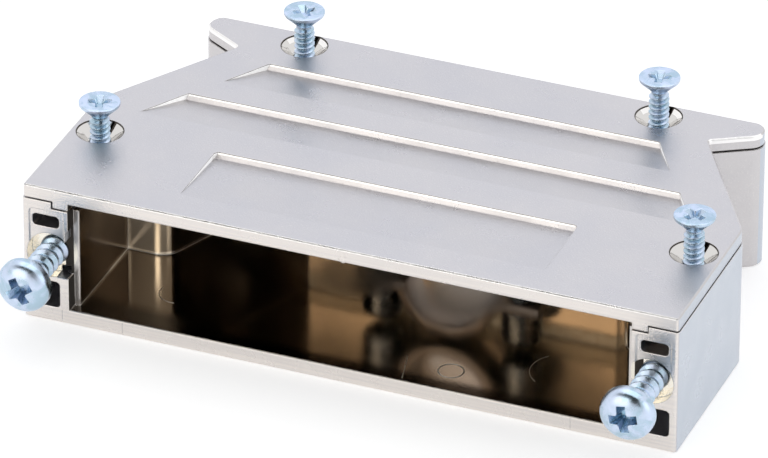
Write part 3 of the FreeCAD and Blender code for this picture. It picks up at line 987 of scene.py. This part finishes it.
@dataclass(frozen=True)
class ZincFinish:
    """Zinc plate of the screws and the strap, with a faint play of colour.

    Attributes:
        name: Name of the material.
        body: Main colour.
        haze: Colour of the passivation where it is thicker.
        edge: Colour of the edges and thread crests, lighter as wear and as painted highlight.
        crevice: Colour of painted shade in the recess and between the threads.
        roughness: Roughness of the clear and of the hazy places.
        crevice_size: Width of a gap that counts as a crevice.
        crevice_share: Strength of the crevices' painted shade.
        edge_radius: Rounding of the edges.
        edge_share: Strength of the edges' colour.
        haze_patches: Patches of haze per metre, and their stretch.
        grains: Grains per metre, and the strength of the pits between them.
        grain_height: Height of the grain.
    """

    name: str
    body: Colour
    haze: Colour
    edge: Colour
    crevice: Colour
    roughness: Pair = (0.20, 0.34)
    crevice_size: float = 0.00045
    crevice_share: float = 0.75
    edge_radius: float = 0.00008
    edge_share: float = 0.5
    haze_patches: Pair = (700.0, 0.8)
    grains: Pair = (7000.0, 0.2)
    grain_height: float = 0.000004

    def material(self, effects: Effects) -> bpy.types.Material:
        """Build the material.

        Args:
            effects: Shared node groups.

        Returns:
            The material.
        """
        material, desk, shader, place = blank_material(self.name)
        per_metre, stretch = self.haze_patches
        clouds = desk.effect(effects.patches, Place=place, Patches_per_Metre=per_metre, Stretch=stretch)
        haze = clouds.outputs["Value"]
        grains, pits = self.grains
        grain = desk.effect(effects.grain, Place=place, Grains_per_Metre=grains, Pits=pits).outputs["Height"]
        edge = desk.effect(effects.edge, Radius=self.edge_radius).outputs
        crevice = desk.effect(effects.crevice, Distance=self.crevice_size).outputs["Mask"]
        colour = desk.paint(
            self.body,
            (haze, self.haze),
            # Edges and crests lighter as wear and as painted highlight
            (desk.all_of(edge["Mask"], self.edge_share), self.edge),
            # Narrow places darker as painted shade
            (desk.all_of(crevice, self.crevice_share), self.crevice),
        )
        bump = {"Height": grain, "Distance": self.grain_height, "Normal": edge["Normal"]}
        desk.fill(shader, {
            "Base Color": colour,
            "Metallic": 1.0,
            "Roughness": desk.scale(haze, *self.roughness),
            "Normal": desk.add("ShaderNodeBump", bump).outputs[0],
        })
        return material


@dataclass(frozen=True)
class FloorFinish:
    """Pale floor: white to the camera and in reflections, and it keeps the soft shadow.

    Attributes:
        name: Name of the material.
        colour: Its colour.
        lift: Light that it adds of its own where it shows.
        clouds: Clouds per metre in its roughness.
        roughness: Least and highest roughness.
    """

    name: str = "pale_floor"
    colour: Colour = (0.86, 0.86, 0.86)
    lift: float = 0.42
    clouds: float = 3.0
    roughness: Pair = (0.75, 0.85)

    def material(self) -> bpy.types.Material:
        """Build the material."""
        material, desk, shader, place = blank_material(self.name)
        desk.fill(shader, {
            "Base Color": (*self.colour, 1),
            "Roughness": desk.scale(desk.noise(place, self.clouds), *self.roughness),
            "Specular IOR Level": 0.0,
            "Emission Color": (1, 1, 1, 1),
            "Emission Strength": desk.all_of(showing_rays(desk), self.lift),
        })
        return material


SCREW_ZINC = ZincFinish(
    "blue_zinc_plate", (0.43, 0.57, 0.68), (0.62, 0.71, 0.88), (0.90, 0.96, 1.00), (0.10, 0.20, 0.23)
)
# Darker copy of the blue zinc for the clamp's screws inside the hood, as painted shade
SHADED_CLAMP_SCREW_ZINC = ZincFinish(
    "clamp_screw_plate", (0.26, 0.31, 0.36), (0.34, 0.38, 0.42), (0.50, 0.54, 0.56), (0.05, 0.06, 0.07)
)
CLAMP_ZINC = ZincFinish(
    "clamp_strap_plate", (0.30, 0.275, 0.26), (0.36, 0.33, 0.31), (0.42, 0.40, 0.38), (0.10, 0.08, 0.07),
    (0.30, 0.42),
)


@dataclass(frozen=True)
class CrossRecess:
    """Tapered cross-shaped recess in a screw head.

    Attributes:
        span: Width over two opposite arms at the mouth.
        arm: Width of one arm at the mouth.
        depth: Depth of the recess.
        core_share: Width of the square core, against an arm's.
        core_foot: Share of the core's width that is left at the bottom.
        arm_foot: Share of an arm's length that is left at the bottom.
        least_foot: Least share that is left of a width.
        above_share: How far the cutter starts above the mouth, against the depth.
    """

    span: float
    arm: float
    depth: float
    core_share: float = 1.62
    core_foot: float = 0.45
    arm_foot: float = 0.42
    least_foot: float = 0.55
    above_share: float = 0.4

    def cutter(self, top: float) -> Piece:
        """Model the body that cuts the recess.

        Args:
            top: Height of the recess's mouth.

        Returns:
            The cutter, standing on the Z axis.
        """
        core_width = self.arm * self.core_share
        core = self.blade(top, core_width, core_width, self.core_foot)
        settle(core, turn(45))
        for degrees in (0, 90):
            arm = self.blade(top, self.span, self.arm, self.arm_foot)
            settle(arm, turn(degrees))
            boolean(core, arm, "UNION")
        return core

    def blade(self, top: float, length: float, width: float, foot: float) -> Piece:
        """Model one tapered block that points down.

        Args:
            top: Height of its mouth; the block starts a little above.
            length: Size along X at the mouth.
            width: Size along Y at the mouth.
            foot: Share of its length that is left at the bottom.

        Returns:
            The block.
        """
        above = self.above_share * self.depth
        height = self.depth + above
        narrow = max(foot, self.least_foot)
        flare, side_flare = (1 + (1 - share) * above / self.depth for share in (foot, narrow))
        middle = (0, 0, top + above - height / 2)
        blade = block("recess_blade", (length * flare, width * side_flare, height), middle)
        # The points keep their own selection, so all of them are deselected before a face is selected
        with edit_mode("DESELECT"):
            pass
        for face in blade.data.polygons:
            face.select = face.normal.z < -STRAIGHT
        with edit_mode(None):
            bpy.ops.transform.resize(
                value=(foot / flare, narrow / side_flare, 1), center_override=(0, 0, top)
            )
        return blade


@dataclass(frozen=True)
class Thread:
    """Thread of a screw.

    Attributes:
        outer: Radius over the crests.
        core: Radius at the root.
        pitch: Advance in one turn.
        crest: Share of the pitch that the crest takes.
        root: Share of the pitch that the flat root takes.
        steps: Steps in one turn.
        spare: Pitches of thread below the shank's end, and spare turns in all.
        neck_share: Neck at the shank's start, against the core.
        neck_length: Length of that neck, against the run-in.
        crest_play: Radius up to which the crests are kept, against the outer radius.
        tip_share: Radius of the blunt tip, against the core.
        sleeve_steps: Steps of the sleeve that trims the thread.
    """

    outer: float
    core: float
    pitch: float
    crest: float = 0.12
    root: float = 0.15
    steps: int = 28
    spare: tuple[float, int] = (1.5, 3)
    neck_share: float = 1.02
    neck_length: float = 0.3
    crest_play: float = 1.001
    tip_share: float = 0.62
    sleeve_steps: int = 48

    def body(self, top: float, bottom: float, tip: float, run_in: float) -> Piece:
        """Model the threaded shank.

        Args:
            top: Height where the shank starts.
            bottom: Height where it ends.
            tip: Length of the taper at its end.
            run_in: Length over which the thread grows below its start.

        Returns:
            The shank, closed.
        """
        below, spare_turns = self.spare
        turns = math.ceil((top - bottom) / self.pitch) + spare_turns
        start = bottom - below * self.pitch
        flank = (1 - self.crest - self.root) / 2
        heights = (0.0, self.root, self.root + flank, self.root + flank + self.crest, 1.0)
        radii = (self.core, self.core, self.outer, self.outer, self.core)
        profile = [(radius, start + share * self.pitch) for radius, share in zip(radii, heights)]
        rope = polyline("thread", profile)
        apply_modifier(
            rope, "SCREW", axis="Z", screw_offset=self.pitch, iterations=turns, steps=self.steps,
            render_steps=self.steps, use_merge_vertices=True, merge_threshold=MERGE,
        )
        with edit_mode():
            close_mesh(MERGE)
        neck = self.core * self.neck_share
        crest = self.outer * self.crest_play
        sleeve = turned("sleeve", [
            (0, top), (neck, top), (neck, top - self.neck_length * run_in), (crest, top - run_in),
            (crest, bottom + tip), (self.core * self.tip_share, bottom), (0, bottom),
        ], self.sleeve_steps)
        boolean(rope, sleeve, "INTERSECT")
        return rope


def finish_screw(head: Piece, shank: Piece, cutter: Piece) -> Piece:
    """Join a head and a shank, and cut the recess.

    Args:
        head: Turned head with a stub of the shank.
        shank: Threaded shank.
        cutter: Body that cuts the recess.

    Returns:
        The finished screw.
    """
    boolean(head, shank, "UNION")
    boolean(head, cutter, "DIFFERENCE")
    smooth(head, SCREW_SMOOTH_ANGLE)
    return head


@dataclass(frozen=True)
class CoverScrew:
    """Countersunk screw that holds the cover, modelled with the top of its head at Z = 0.

    Attributes:
        head_radius: Radius of the head.
        rim: Height of the head's upright rim.
        length: Length over all.
        tip: Length of the taper at the shank's end.
        run_in: Length over which the thread grows.
        thread: Thread of the shank.
        recess: Recess in the head.
        steps: Steps of the turned head.
        top_edge: Rounded top edge: shares of the head's radius and how far each lies below the top.
        cone_edge: Start of the cone: share of the head's radius and of the rim's height.
        neck_share: Radius of the neck, against the thread's core.
        cone_foot: Rounded end of the cone: shares of the neck's radius and of the cone's depth.
        stub: Heights below the cone where the neck ends and where the core starts.
    """

    head_radius: float = 2.10 * MM
    rim: float = 0.28 * MM
    length: float = 8.0 * MM
    tip: float = 0.35 * MM
    run_in: float = 0.55 * MM
    thread: Thread = Thread(1.05 * MM, 0.74 * MM, 0.60 * MM)
    recess: CrossRecess = CrossRecess(2.45 * MM, 0.80 * MM, 0.55 * MM)
    steps: int = 72
    top_edge: tuple[Pair, ...] = ((0.93, 0.0), (0.985, 0.03 * MM), (1.0, 0.08 * MM))
    cone_edge: Pair = (0.97, 1.4)
    neck_share: float = 1.12
    cone_foot: tuple[Pair, ...] = ((1.08, 0.97), (1.0, 1.06))
    stub: Pair = (0.25 * MM, 0.32 * MM)

    def build(self) -> Piece:
        """Model the screw."""
        radius, core = self.head_radius, self.thread.core
        neck = core * self.neck_share
        cone_end = self.rim + radius - neck
        neck_end, core_start = (cone_end + below for below in self.stub)
        edge_share, edge_height = self.cone_edge
        head = turned("cover_screw", [
            (0, 0), *((radius * share, -drop) for share, drop in self.top_edge), (radius, -self.rim),
            (radius * edge_share, -self.rim * edge_height),
            *((neck * share, -cone_end * depth) for share, depth in self.cone_foot),
            (neck, -neck_end), (core, -core_start), (0, -core_start),
        ], self.steps)
        shank = self.thread.body(-cone_end, -self.length, self.tip, self.run_in)
        return finish_screw(head, shank, self.recess.cutter(0))


@dataclass(frozen=True)
class PanScrew:
    """Pan-head screw, modelled with the underside of its head at Z = 0 and its shank below.

    Attributes:
        name: Name of the model screw.
        head_radius: Radius of the head.
        head_height: Height of the head.
        head_side: Height of its straight side.
        length: Length of the shank.
        tip: Length of the taper at the end of the shank.
        thread: Thread of the shank.
        recess: Recess in the head.
        steps: Steps of the turned head.
        dome_step: Degrees between two points of the dome.
        under: Chamfer under the head.
        seat_share: Radius of the shank at the head, against the thread's outer radius.
        stub: Start of the shank: shares of the core's radius, and the depth of each.
        overlap: How far the shank reaches into the head.
        run_in: Length over which the thread grows.
        recess_drop: How far the recess's mouth lies below the top, against the dome's height.
    """

    name: str
    head_radius: float
    head_height: float
    head_side: float
    length: float
    tip: float
    thread: Thread
    recess: CrossRecess
    steps: int = 80
    dome_step: int = 9
    under: float = 0.12 * MM
    seat_share: float = 1.02
    stub: tuple[Pair, ...] = ((1.06, 0.25 * MM), (1.02, 0.6 * MM))
    overlap: float = 0.1 * MM
    run_in: float = 0.9 * MM
    recess_drop: float = 0.12

    def build(self) -> Piece:
        """Model the screw."""
        dome = self.head_height - self.head_side
        angles = [math.radians(degrees) for degrees in range(90 - self.dome_step, -1, -self.dome_step)]
        rounded = [
            (self.head_radius * math.cos(angle), self.head_side + dome * math.sin(angle)) for angle in angles
        ]
        head = turned(self.name, [
            (0, self.head_height), *rounded,
            (self.head_radius, self.under), (self.head_radius - self.under, 0),
            (self.thread.outer * self.seat_share, 0),
            *((self.thread.core * share, -depth) for share, depth in self.stub), (0, -self.stub[-1][1]),
        ], self.steps)
        shank = self.thread.body(-self.overlap, -self.length, self.tip, self.run_in)
        return finish_screw(head, shank, self.recess.cutter(self.head_height - self.recess_drop * dome))


FLANGE_SCREW = PanScrew(
    "flange_screw", 2.8 * MM, 2.2 * MM, 0.7 * MM, 9.5 * MM, 0.9 * MM,
    Thread(1.45 * MM, 1.06 * MM, 1.2 * MM, 0.10, 0.42), CrossRecess(3.0 * MM, 0.95 * MM, 1.5 * MM),
)
SADDLE_SCREW = PanScrew(
    "saddle_screw", 2.1 * MM, 4.3 * MM, 3.2 * MM, 5.2 * MM, 0.4 * MM,
    Thread(1.45 * MM, 1.15 * MM, 0.5 * MM), CrossRecess(2.5 * MM, 0.72 * MM, 1.5 * MM),
)


@dataclass
class ScrewSet:
    """All screws of the hood, each model copied to the places where the frame has one.

    Attributes:
        zinc: Material of the cover's and the flange's screws.
        clamp_zinc: Material of the clamp's screws, a darker copy of the blue zinc as painted shade.
        cover_turns: Turn of each cover screw's recess in degrees, by its place.
        flange_turns: Turn of each flange screw's recess.
        saddle_turns: Turn of each clamp screw's recess.
    """

    zinc: bpy.types.Material
    clamp_zinc: bpy.types.Material
    cover_turns: Turns = (
        ("front_left", 20.0), ("front_right", 62.0), ("rear_left", 38.0), ("rear_right", 12.0),
    )
    flange_turns: Turns = (("left", 30.0), ("right", 10.0))
    saddle_turns: Turns = (("left", -5.0), ("right", 55.0))

    def build(self) -> list[Piece]:
        """Model every screw and put each in place.

        Returns:
            The placed screws.
        """
        cover, flange, saddle = (model.build() for model in (CoverScrew(), FLANGE_SCREW, SADDLE_SCREW))
        dress(cover, self.zinc)
        dress(flange, self.zinc)
        dress(saddle, self.clamp_zinc)
        return [
            *self.spread(cover, "cover_screw", self.cover_turns, self.cover_seat),
            *self.spread(flange, "flange_screw", self.flange_turns, self.flange_seat),
            *self.spread(saddle, "saddle_screw", self.saddle_turns, self.saddle_seat, "strain_relief"),
        ]

    def cover_seat(self, low: Vector, high: Vector) -> Matrix:
        """Give the place of a cover screw: the top of its head."""
        middle = (low + high) / 2
        return Matrix.Translation((middle.x, middle.y, high.z))

    def flange_seat(self, low: Vector, high: Vector) -> Matrix:
        """Give the place of a flange screw: the underside of its head, with the head to the front."""
        middle = (low + high) / 2
        return Matrix.Translation((middle.x, high.y - FLANGE_SCREW.length, middle.z)) @ turn(90, "X")

    def saddle_seat(self, low: Vector, high: Vector) -> Matrix:
        """Give the place of a clamp screw: the underside of its head."""
        middle = (low + high) / 2
        return Matrix.Translation((middle.x, middle.y, low.z + SADDLE_SCREW.length))

    def spread(self, model: Piece, kind: str, turns: Turns, seat: Callable[[Vector, Vector], Matrix],
               body: str = "") -> list[Piece]:
        """Copy a model screw to every place of its kind, where each copy stands for its node.

        Args:
            model: Screw to copy, which is removed at the end.
            kind: Kind of screw, as the names of its nodes begin.
            turns: Turn of each recess, by its place.
            seat: Gives a screw's place from the box of its node.
            body: Body that all of them move with; without one, each is a body of its own.

        Returns:
            The placed screws.
        """
        placed = []
        for spot, degrees in turns:
            node = f"{kind}_{spot}"
            low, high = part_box(node)
            screw = copy_of(model, f"{spot}_{kind}")
            settle(screw, seat(low, high) @ turn(degrees))
            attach(screw, body or node)
            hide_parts(node)
            placed.append(screw)
        bpy.data.objects.remove(model)
        return placed


@dataclass
class Castings:
    """The two nickel-plated halves and the small marks that casting leaves on them.

    Attributes:
        nickel: Their material.
        front: Depth of the base's front face.
        cover_inset: How far the cover's front face lies behind it.
        floor: Height of the chamber's floor.
        seams: Places along X of the tool seams on the lower front rim.
        seam_size: Width of a seam, and how far it stands out.
        seam_heights: Heights between which the seams run.
        ridge_rise: Height of the round marks above the floor; they start as far below it.
        ridge_flat: Share of a round mark's width that is flat on top.
        ridge_steps: Steps in a round mark.
        ejector: Centre of the ejector ring on the floor.
        ejector_radius: Radius of that ring.
        ejector_width: Half of its width.
        arcs: Thin marks on the floor: centre, radius, first angle and sweep in degrees.
        arc_width: Half of their width.
        scratch: Ends of the fine raised line on the floor.
        scratch_size: Its width, its height and the rounding of its edges.
        gate: Place in X and Z of the gate mark on the cover's front edge.
        gate_profile: Its outline: radius, and height out of the cover's front face.
        gate_steps: Steps in its turn.
    """

    nickel: bpy.types.Material
    front: float = -19.45 * MM
    cover_inset: float = 0.1 * MM
    floor: float = 1.6 * MM
    seams: tuple[float, ...] = (-30.5 * MM, -24.0 * MM, 23.6 * MM)
    seam_size: Pair = (0.04 * MM, 0.04 * MM)
    seam_heights: Pair = (0.276 * MM, 1.524 * MM)
    ridge_rise: float = 0.04 * MM
    ridge_flat: float = 0.4
    ridge_steps: int = 48
    ejector: Pair = (9.7 * MM, -15.8 * MM)
    ejector_radius: float = 1.28 * MM
    ejector_width: float = 0.12 * MM
    arcs: tuple[tuple[float, float, float, float, float], ...] = (
        (19.9 * MM, -11.9 * MM, 3.2 * MM, 135.0, 100.0),
        (-21.0 * MM, -12.3 * MM, 1.9 * MM, 165.0, 115.0),
    )
    arc_width: float = 0.06 * MM
    scratch: tuple[Pair, Pair] = ((5.7 * MM, -18.8 * MM), (4.7 * MM, -14.8 * MM))
    scratch_size: tuple[float, float, float] = (0.10 * MM, 0.06 * MM, 0.02 * MM)
    gate: Pair = (-0.4 * MM, 14.1 * MM)
    gate_profile: tuple[Pair, ...] = (
        (0, 0.05 * MM), (0.30 * MM, 0.04 * MM), (0.42 * MM, 0), (0.42 * MM, -0.15 * MM), (0, -0.15 * MM),
    )
    gate_steps: int = 24

    def build(self) -> list[Piece]:
        """Dress the castings and add their marks.

        Returns:
            The pieces that are shown.
        """
        halves = [frame["nodes"]["base_shell"], frame["nodes"]["top_cover"]]
        for half in halves:
            dress(half, self.nickel)
        marks = [
            self.seam_lines(), self.ejector_ring(), *self.floor_arcs(), self.floor_scratch(), self.gate_mark(),
        ]
        for mark in marks:
            dress(mark, self.nickel)
            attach(mark, "hood")
        return [*halves, *marks]

    def seam_lines(self) -> Piece:
        """Model the fine upright ridges on the lower rim of the opening."""
        width, reach = self.seam_size
        foot, head = self.seam_heights
        ridges = []
        for place in self.seams:
            middle = (place, self.front, (foot + head) / 2)
            ridges.append(block("casting_seams", (width, 2 * reach, head - foot), middle))
        deselect_all()
        for ridge in ridges:
            ridge.select_set(True)
        bpy.context.view_layer.objects.active = ridges[0]
        bpy.ops.object.join()
        return named("casting_seams")

    def low_ridge(self, name: str, radius: float, half_width: float, first: float, sweep: float) -> Piece:
        """Spin a low ridge about Z, closed all round or at both ends.

        Args:
            name: Name of the ridge.
            radius: Radius of its middle line.
            half_width: Half of its width.
            first: Angle where it starts, in degrees.
            sweep: Angle that it covers, in degrees.

        Returns:
            The ridge.
        """
        rise, flat = self.ridge_rise, self.ridge_flat * half_width
        ridge = polyline(name, [
            (radius - half_width, -rise), (radius - flat, rise), (radius + flat, rise),
            (radius + half_width, -rise), (radius - half_width, -rise),
        ])
        with edit_mode():
            bpy.ops.mesh.remove_doubles(threshold=FINE_MERGE)
            bpy.ops.mesh.select_all(action="SELECT")
            bpy.ops.mesh.spin(
                steps=self.ridge_steps, angle=-math.radians(sweep), center=(0, 0, 0), axis=(0, 0, 1)
            )
            close_mesh(FINE_MERGE)
        settle(ridge, turn(first))
        return ridge

    def ejector_ring(self) -> Piece:
        """Model the low ring that an ejector pin left on the floor."""
        ring = self.low_ridge("ejector_ring", self.ejector_radius, self.ejector_width, 0.0, 360.0)
        settle(ring, Matrix.Translation((*self.ejector, self.floor)))
        smooth(ring)
        return ring

    def floor_arcs(self) -> list[Piece]:
        """Model the thin arcs that other ejector pins left on the floor."""
        marks = []
        for number, (x, y, radius, first, sweep) in enumerate(self.arcs, 1):
            arc = self.low_ridge(f"floor_arc_{number}", radius, self.arc_width, first, sweep)
            settle(arc, Matrix.Translation((x, y, self.floor)))
            smooth(arc)
            marks.append(arc)
        return marks

    def floor_scratch(self) -> Piece:
        """Model the fine raised line near the front of the floor."""
        (x0, y0), (x1, y1) = self.scratch
        width, height, rounding = self.scratch_size
        line = block("floor_scratch", (width, math.hypot(x1 - x0, y1 - y0), height))
        apply_modifier(line, "BEVEL", width=rounding, segments=2)
        middle = Matrix.Translation(((x0 + x1) / 2, (y0 + y1) / 2, self.floor))
        settle(line, middle @ turn(math.degrees(math.atan2(y1 - y0, x1 - x0)) - 90))
        return line

    def gate_mark(self) -> Piece:
        """Model the small trimmed gate on the front edge of the cover."""
        x, z = self.gate
        mark = turned("gate_mark", self.gate_profile, self.gate_steps)
        settle(mark, Matrix.Translation((x, self.front + self.cover_inset, z)) @ turn(90, "X"))
        smooth(mark)
        return mark


@dataclass
class CableClamp:
    """The strap that holds the cable down.

    Attributes:
        zinc: Its material.
        rounding: Rounding of its edges.
        flat_angle: Angle in degrees under which faces count as one plane.
        edge_angle: Angle in degrees over which edges are rounded.
    """

    zinc: bpy.types.Material
    rounding: float = 0.18 * MM
    flat_angle: float = 1.0
    edge_angle: float = 50.0

    def build(self) -> list[Piece]:
        """Model the strap with its pressed, rounded edges.

        Returns:
            The strap.
        """
        source = frame["nodes"]["cable_saddle"]
        strap = copy_of(source, "clamp_strap")
        strap.parent = None
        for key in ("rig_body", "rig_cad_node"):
            del strap[key]
        pick(strap)
        with edit_mode():
            bpy.ops.mesh.remove_doubles(threshold=MERGE)
            bpy.ops.mesh.dissolve_limited(angle_limit=math.radians(self.flat_angle))
        apply_modifier(
            strap, "BEVEL", width=self.rounding, segments=2, limit_method="ANGLE",
            angle_limit=math.radians(self.edge_angle),
        )
        smooth(strap)
        dress(strap, self.zinc)
        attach(strap, "strain_relief")
        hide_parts("cable_saddle")
        return [strap]


@dataclass(frozen=True)
class Lamp:
    """Soft box that points at the hood.

    Attributes:
        name: Its name.
        place: Where it stands.
        size: Width and height.
        power: Light in watts.
        colour: Its colour.
        aim: Point that it is turned to.
    """

    name: str
    place: tuple[float, float, float]
    size: Pair
    power: float
    colour: Colour
    aim: tuple[float, float, float] = (0, 0, 0.008)

    def build(self) -> Piece:
        """Hang the lamp."""
        deselect_all()
        bpy.ops.object.light_add(type="AREA", location=self.place)
        lamp = bpy.context.active_object
        lamp.name = self.name
        lamp.data.shape = "RECTANGLE"
        lamp.data.size, lamp.data.size_y = self.size
        lamp.data.energy = self.power
        lamp.data.color = self.colour
        lamp.rotation_euler = (Vector(self.aim) - Vector(self.place)).to_track_quat("-Z", "Y").to_euler()
        lamp.visible_camera = False
        return lamp


@dataclass(frozen=True)
class DarkCard:
    """Dark card on the camera's side that only reflections see, as product studios use to draw metal edges.

    Attributes:
        name: Its name.
        azimuth: Direction in which it hangs, in degrees from the front towards the right.
        elevation: Angle above the floor, in degrees.
        size: Width and height.
        distance: Distance from the hood.
        colour: Its colour.
        fibres: Felt fibres per metre.
        roughness: Least and highest roughness of the felt.
    """

    name: str
    azimuth: float
    elevation: float
    size: Pair
    distance: float = 1.3
    colour: Colour = (0.02, 0.018, 0.016)
    fibres: float = 300.0
    roughness: Pair = (0.8, 1.0)

    def build(self) -> Piece:
        """Hang the card."""
        aim = Euler((math.radians(-self.elevation), 0, math.radians(self.azimuth)), "XYZ").to_matrix()
        deselect_all()
        bpy.ops.mesh.primitive_plane_add(size=1)
        card = named(self.name)
        card.scale = (*self.size, 1)
        apply_place()
        place = Matrix.Translation(aim @ Vector((0, -self.distance, 0)))
        settle(card, place @ aim.to_4x4() @ turn(90, "X"))
        material, desk, shader, spot = blank_material(f"{self.name}_felt")
        desk.fill(shader, {
            "Base Color": (*self.colour, 1),
            "Roughness": desk.scale(desk.noise(spot, self.fibres), *self.roughness),
            "Specular IOR Level": 0.0,
        })
        dress(card, material)
        card.visible_camera = False
        card.visible_diffuse = False
        card.visible_shadow = False
        return card


@dataclass
class Studio:
    """Camera, floor, lamps, dark cards and the white surroundings.

    Attributes:
        camera_place: Place of the camera.
        camera_turn: Its turn in degrees.
        lens: Its focal length in millimetres.
        sensor: Width of its sensor in millimetres.
        clip: Nearest and farthest distance that it sees.
        floor_radius: Radius of the floor.
        floor_rim: Width of the ring of faces at its edge.
        floor_steps: Corners of its outline.
        ambient: Strength of the white surroundings as a light.
        lamps: Soft boxes.
        cards: Dark cards.
    """

    camera_place: tuple[float, float, float] = (0.253449, -0.646606, 0.419124)
    camera_turn: tuple[float, float, float] = (59.3142, -0.1616, 21.7861)
    lens: float = 378.23
    sensor: float = 36.0
    clip: Pair = (0.01, 20.0)
    floor_radius: float = 3.0
    floor_rim: float = 0.4
    floor_steps: int = 96
    ambient: float = 0.55
    lamps: tuple[Lamp, ...] = (
        Lamp("overhead_soft_box", (0.0, 0.15, 0.95), (1.1, 1.1), 2.6, (0.95, 0.97, 1.0)),
        Lamp("front_soft_box", (-0.42, -1.00, 0.48), (0.9, 0.7), 1.8, (1.0, 0.93, 0.82)),
        Lamp("right_soft_box", (1.0, -0.10, 0.40), (0.8, 0.6), 1.0, (0.80, 0.90, 1.0)),
        Lamp("rear_soft_box", (-0.35, 1.05, 0.62), (1.5, 0.9), 0.5, (0.15, 0.40, 1.0)),
    )
    cards: tuple[DarkCard, ...] = (
        DarkCard("camera_side_card", 25.0, 33.0, (0.80, 0.62), 1.3, (0.11, 0.095, 0.08)),
        DarkCard("high_front_card", -8.0, 58.0, (2.2, 0.55), 1.35),
    )

    def build(self) -> None:
        """Set up everything round the hood."""
        self.floor()
        self.surroundings()
        for item in (*self.cards, *self.lamps):
            item.build()
        self.camera()

    def floor(self) -> None:
        """Lay the floor: one pale flat disc."""
        deselect_all()
        bpy.ops.mesh.primitive_circle_add(
            vertices=self.floor_steps, radius=self.floor_radius, fill_type="NGON"
        )
        floor = named("studio_floor")
        with edit_mode():
            bpy.ops.mesh.inset(thickness=self.floor_rim, depth=0)
        dress(floor, FloorFinish().material())

    def surroundings(self) -> None:
        """White to the camera and in reflections, and a plain ambient light on the rest."""
        world = bpy.data.worlds.new("studio_white")
        bpy.context.scene.world = world
        world.use_nodes = True
        desk = NodeDesk(world.node_tree)
        strength = desk.scale(showing_rays(desk), self.ambient, 1.0)
        desk.fill(world.node_tree.nodes["Background"], {"Color": (1, 1, 1, 1), "Strength": strength})

    def camera(self) -> None:
        """Stand the camera where the photograph was taken from."""
        bpy.ops.object.camera_add(location=self.camera_place)
        camera = bpy.context.active_object
        camera.name = "photo_camera"
        camera.rotation_euler = Euler([math.radians(degrees) for degrees in self.camera_turn], "XYZ")
        camera.data.sensor_width = self.sensor
        camera.data.sensor_fit = "HORIZONTAL"
        camera.data.lens = self.lens
        camera.data.clip_start, camera.data.clip_end = self.clip
        bpy.context.scene.camera = camera


def main() -> None:
    """Build the hood's looks and the studio."""
    logging.basicConfig(level=logging.INFO, format="%(name)s: %(message)s")
    scene = bpy.context.scene
    scene.view_settings.view_transform = "Standard"
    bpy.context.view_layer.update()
    effects = Effects.build()
    builders: list[Callable[[], list[Piece]]] = [
        Castings(NickelFinish().material(effects)).build,
        ScrewSet(SCREW_ZINC.material(effects), SHADED_CLAMP_SCREW_ZINC.material(effects)).build,
        CableClamp(CLAMP_ZINC.material(effects)).build,
    ]
    for build in builders:
        for piece in build():
            LOG.info("%s: %d faces", piece.name, len(piece.data.polygons))
    Studio().build()


if __name__ == "__main__":
    main()
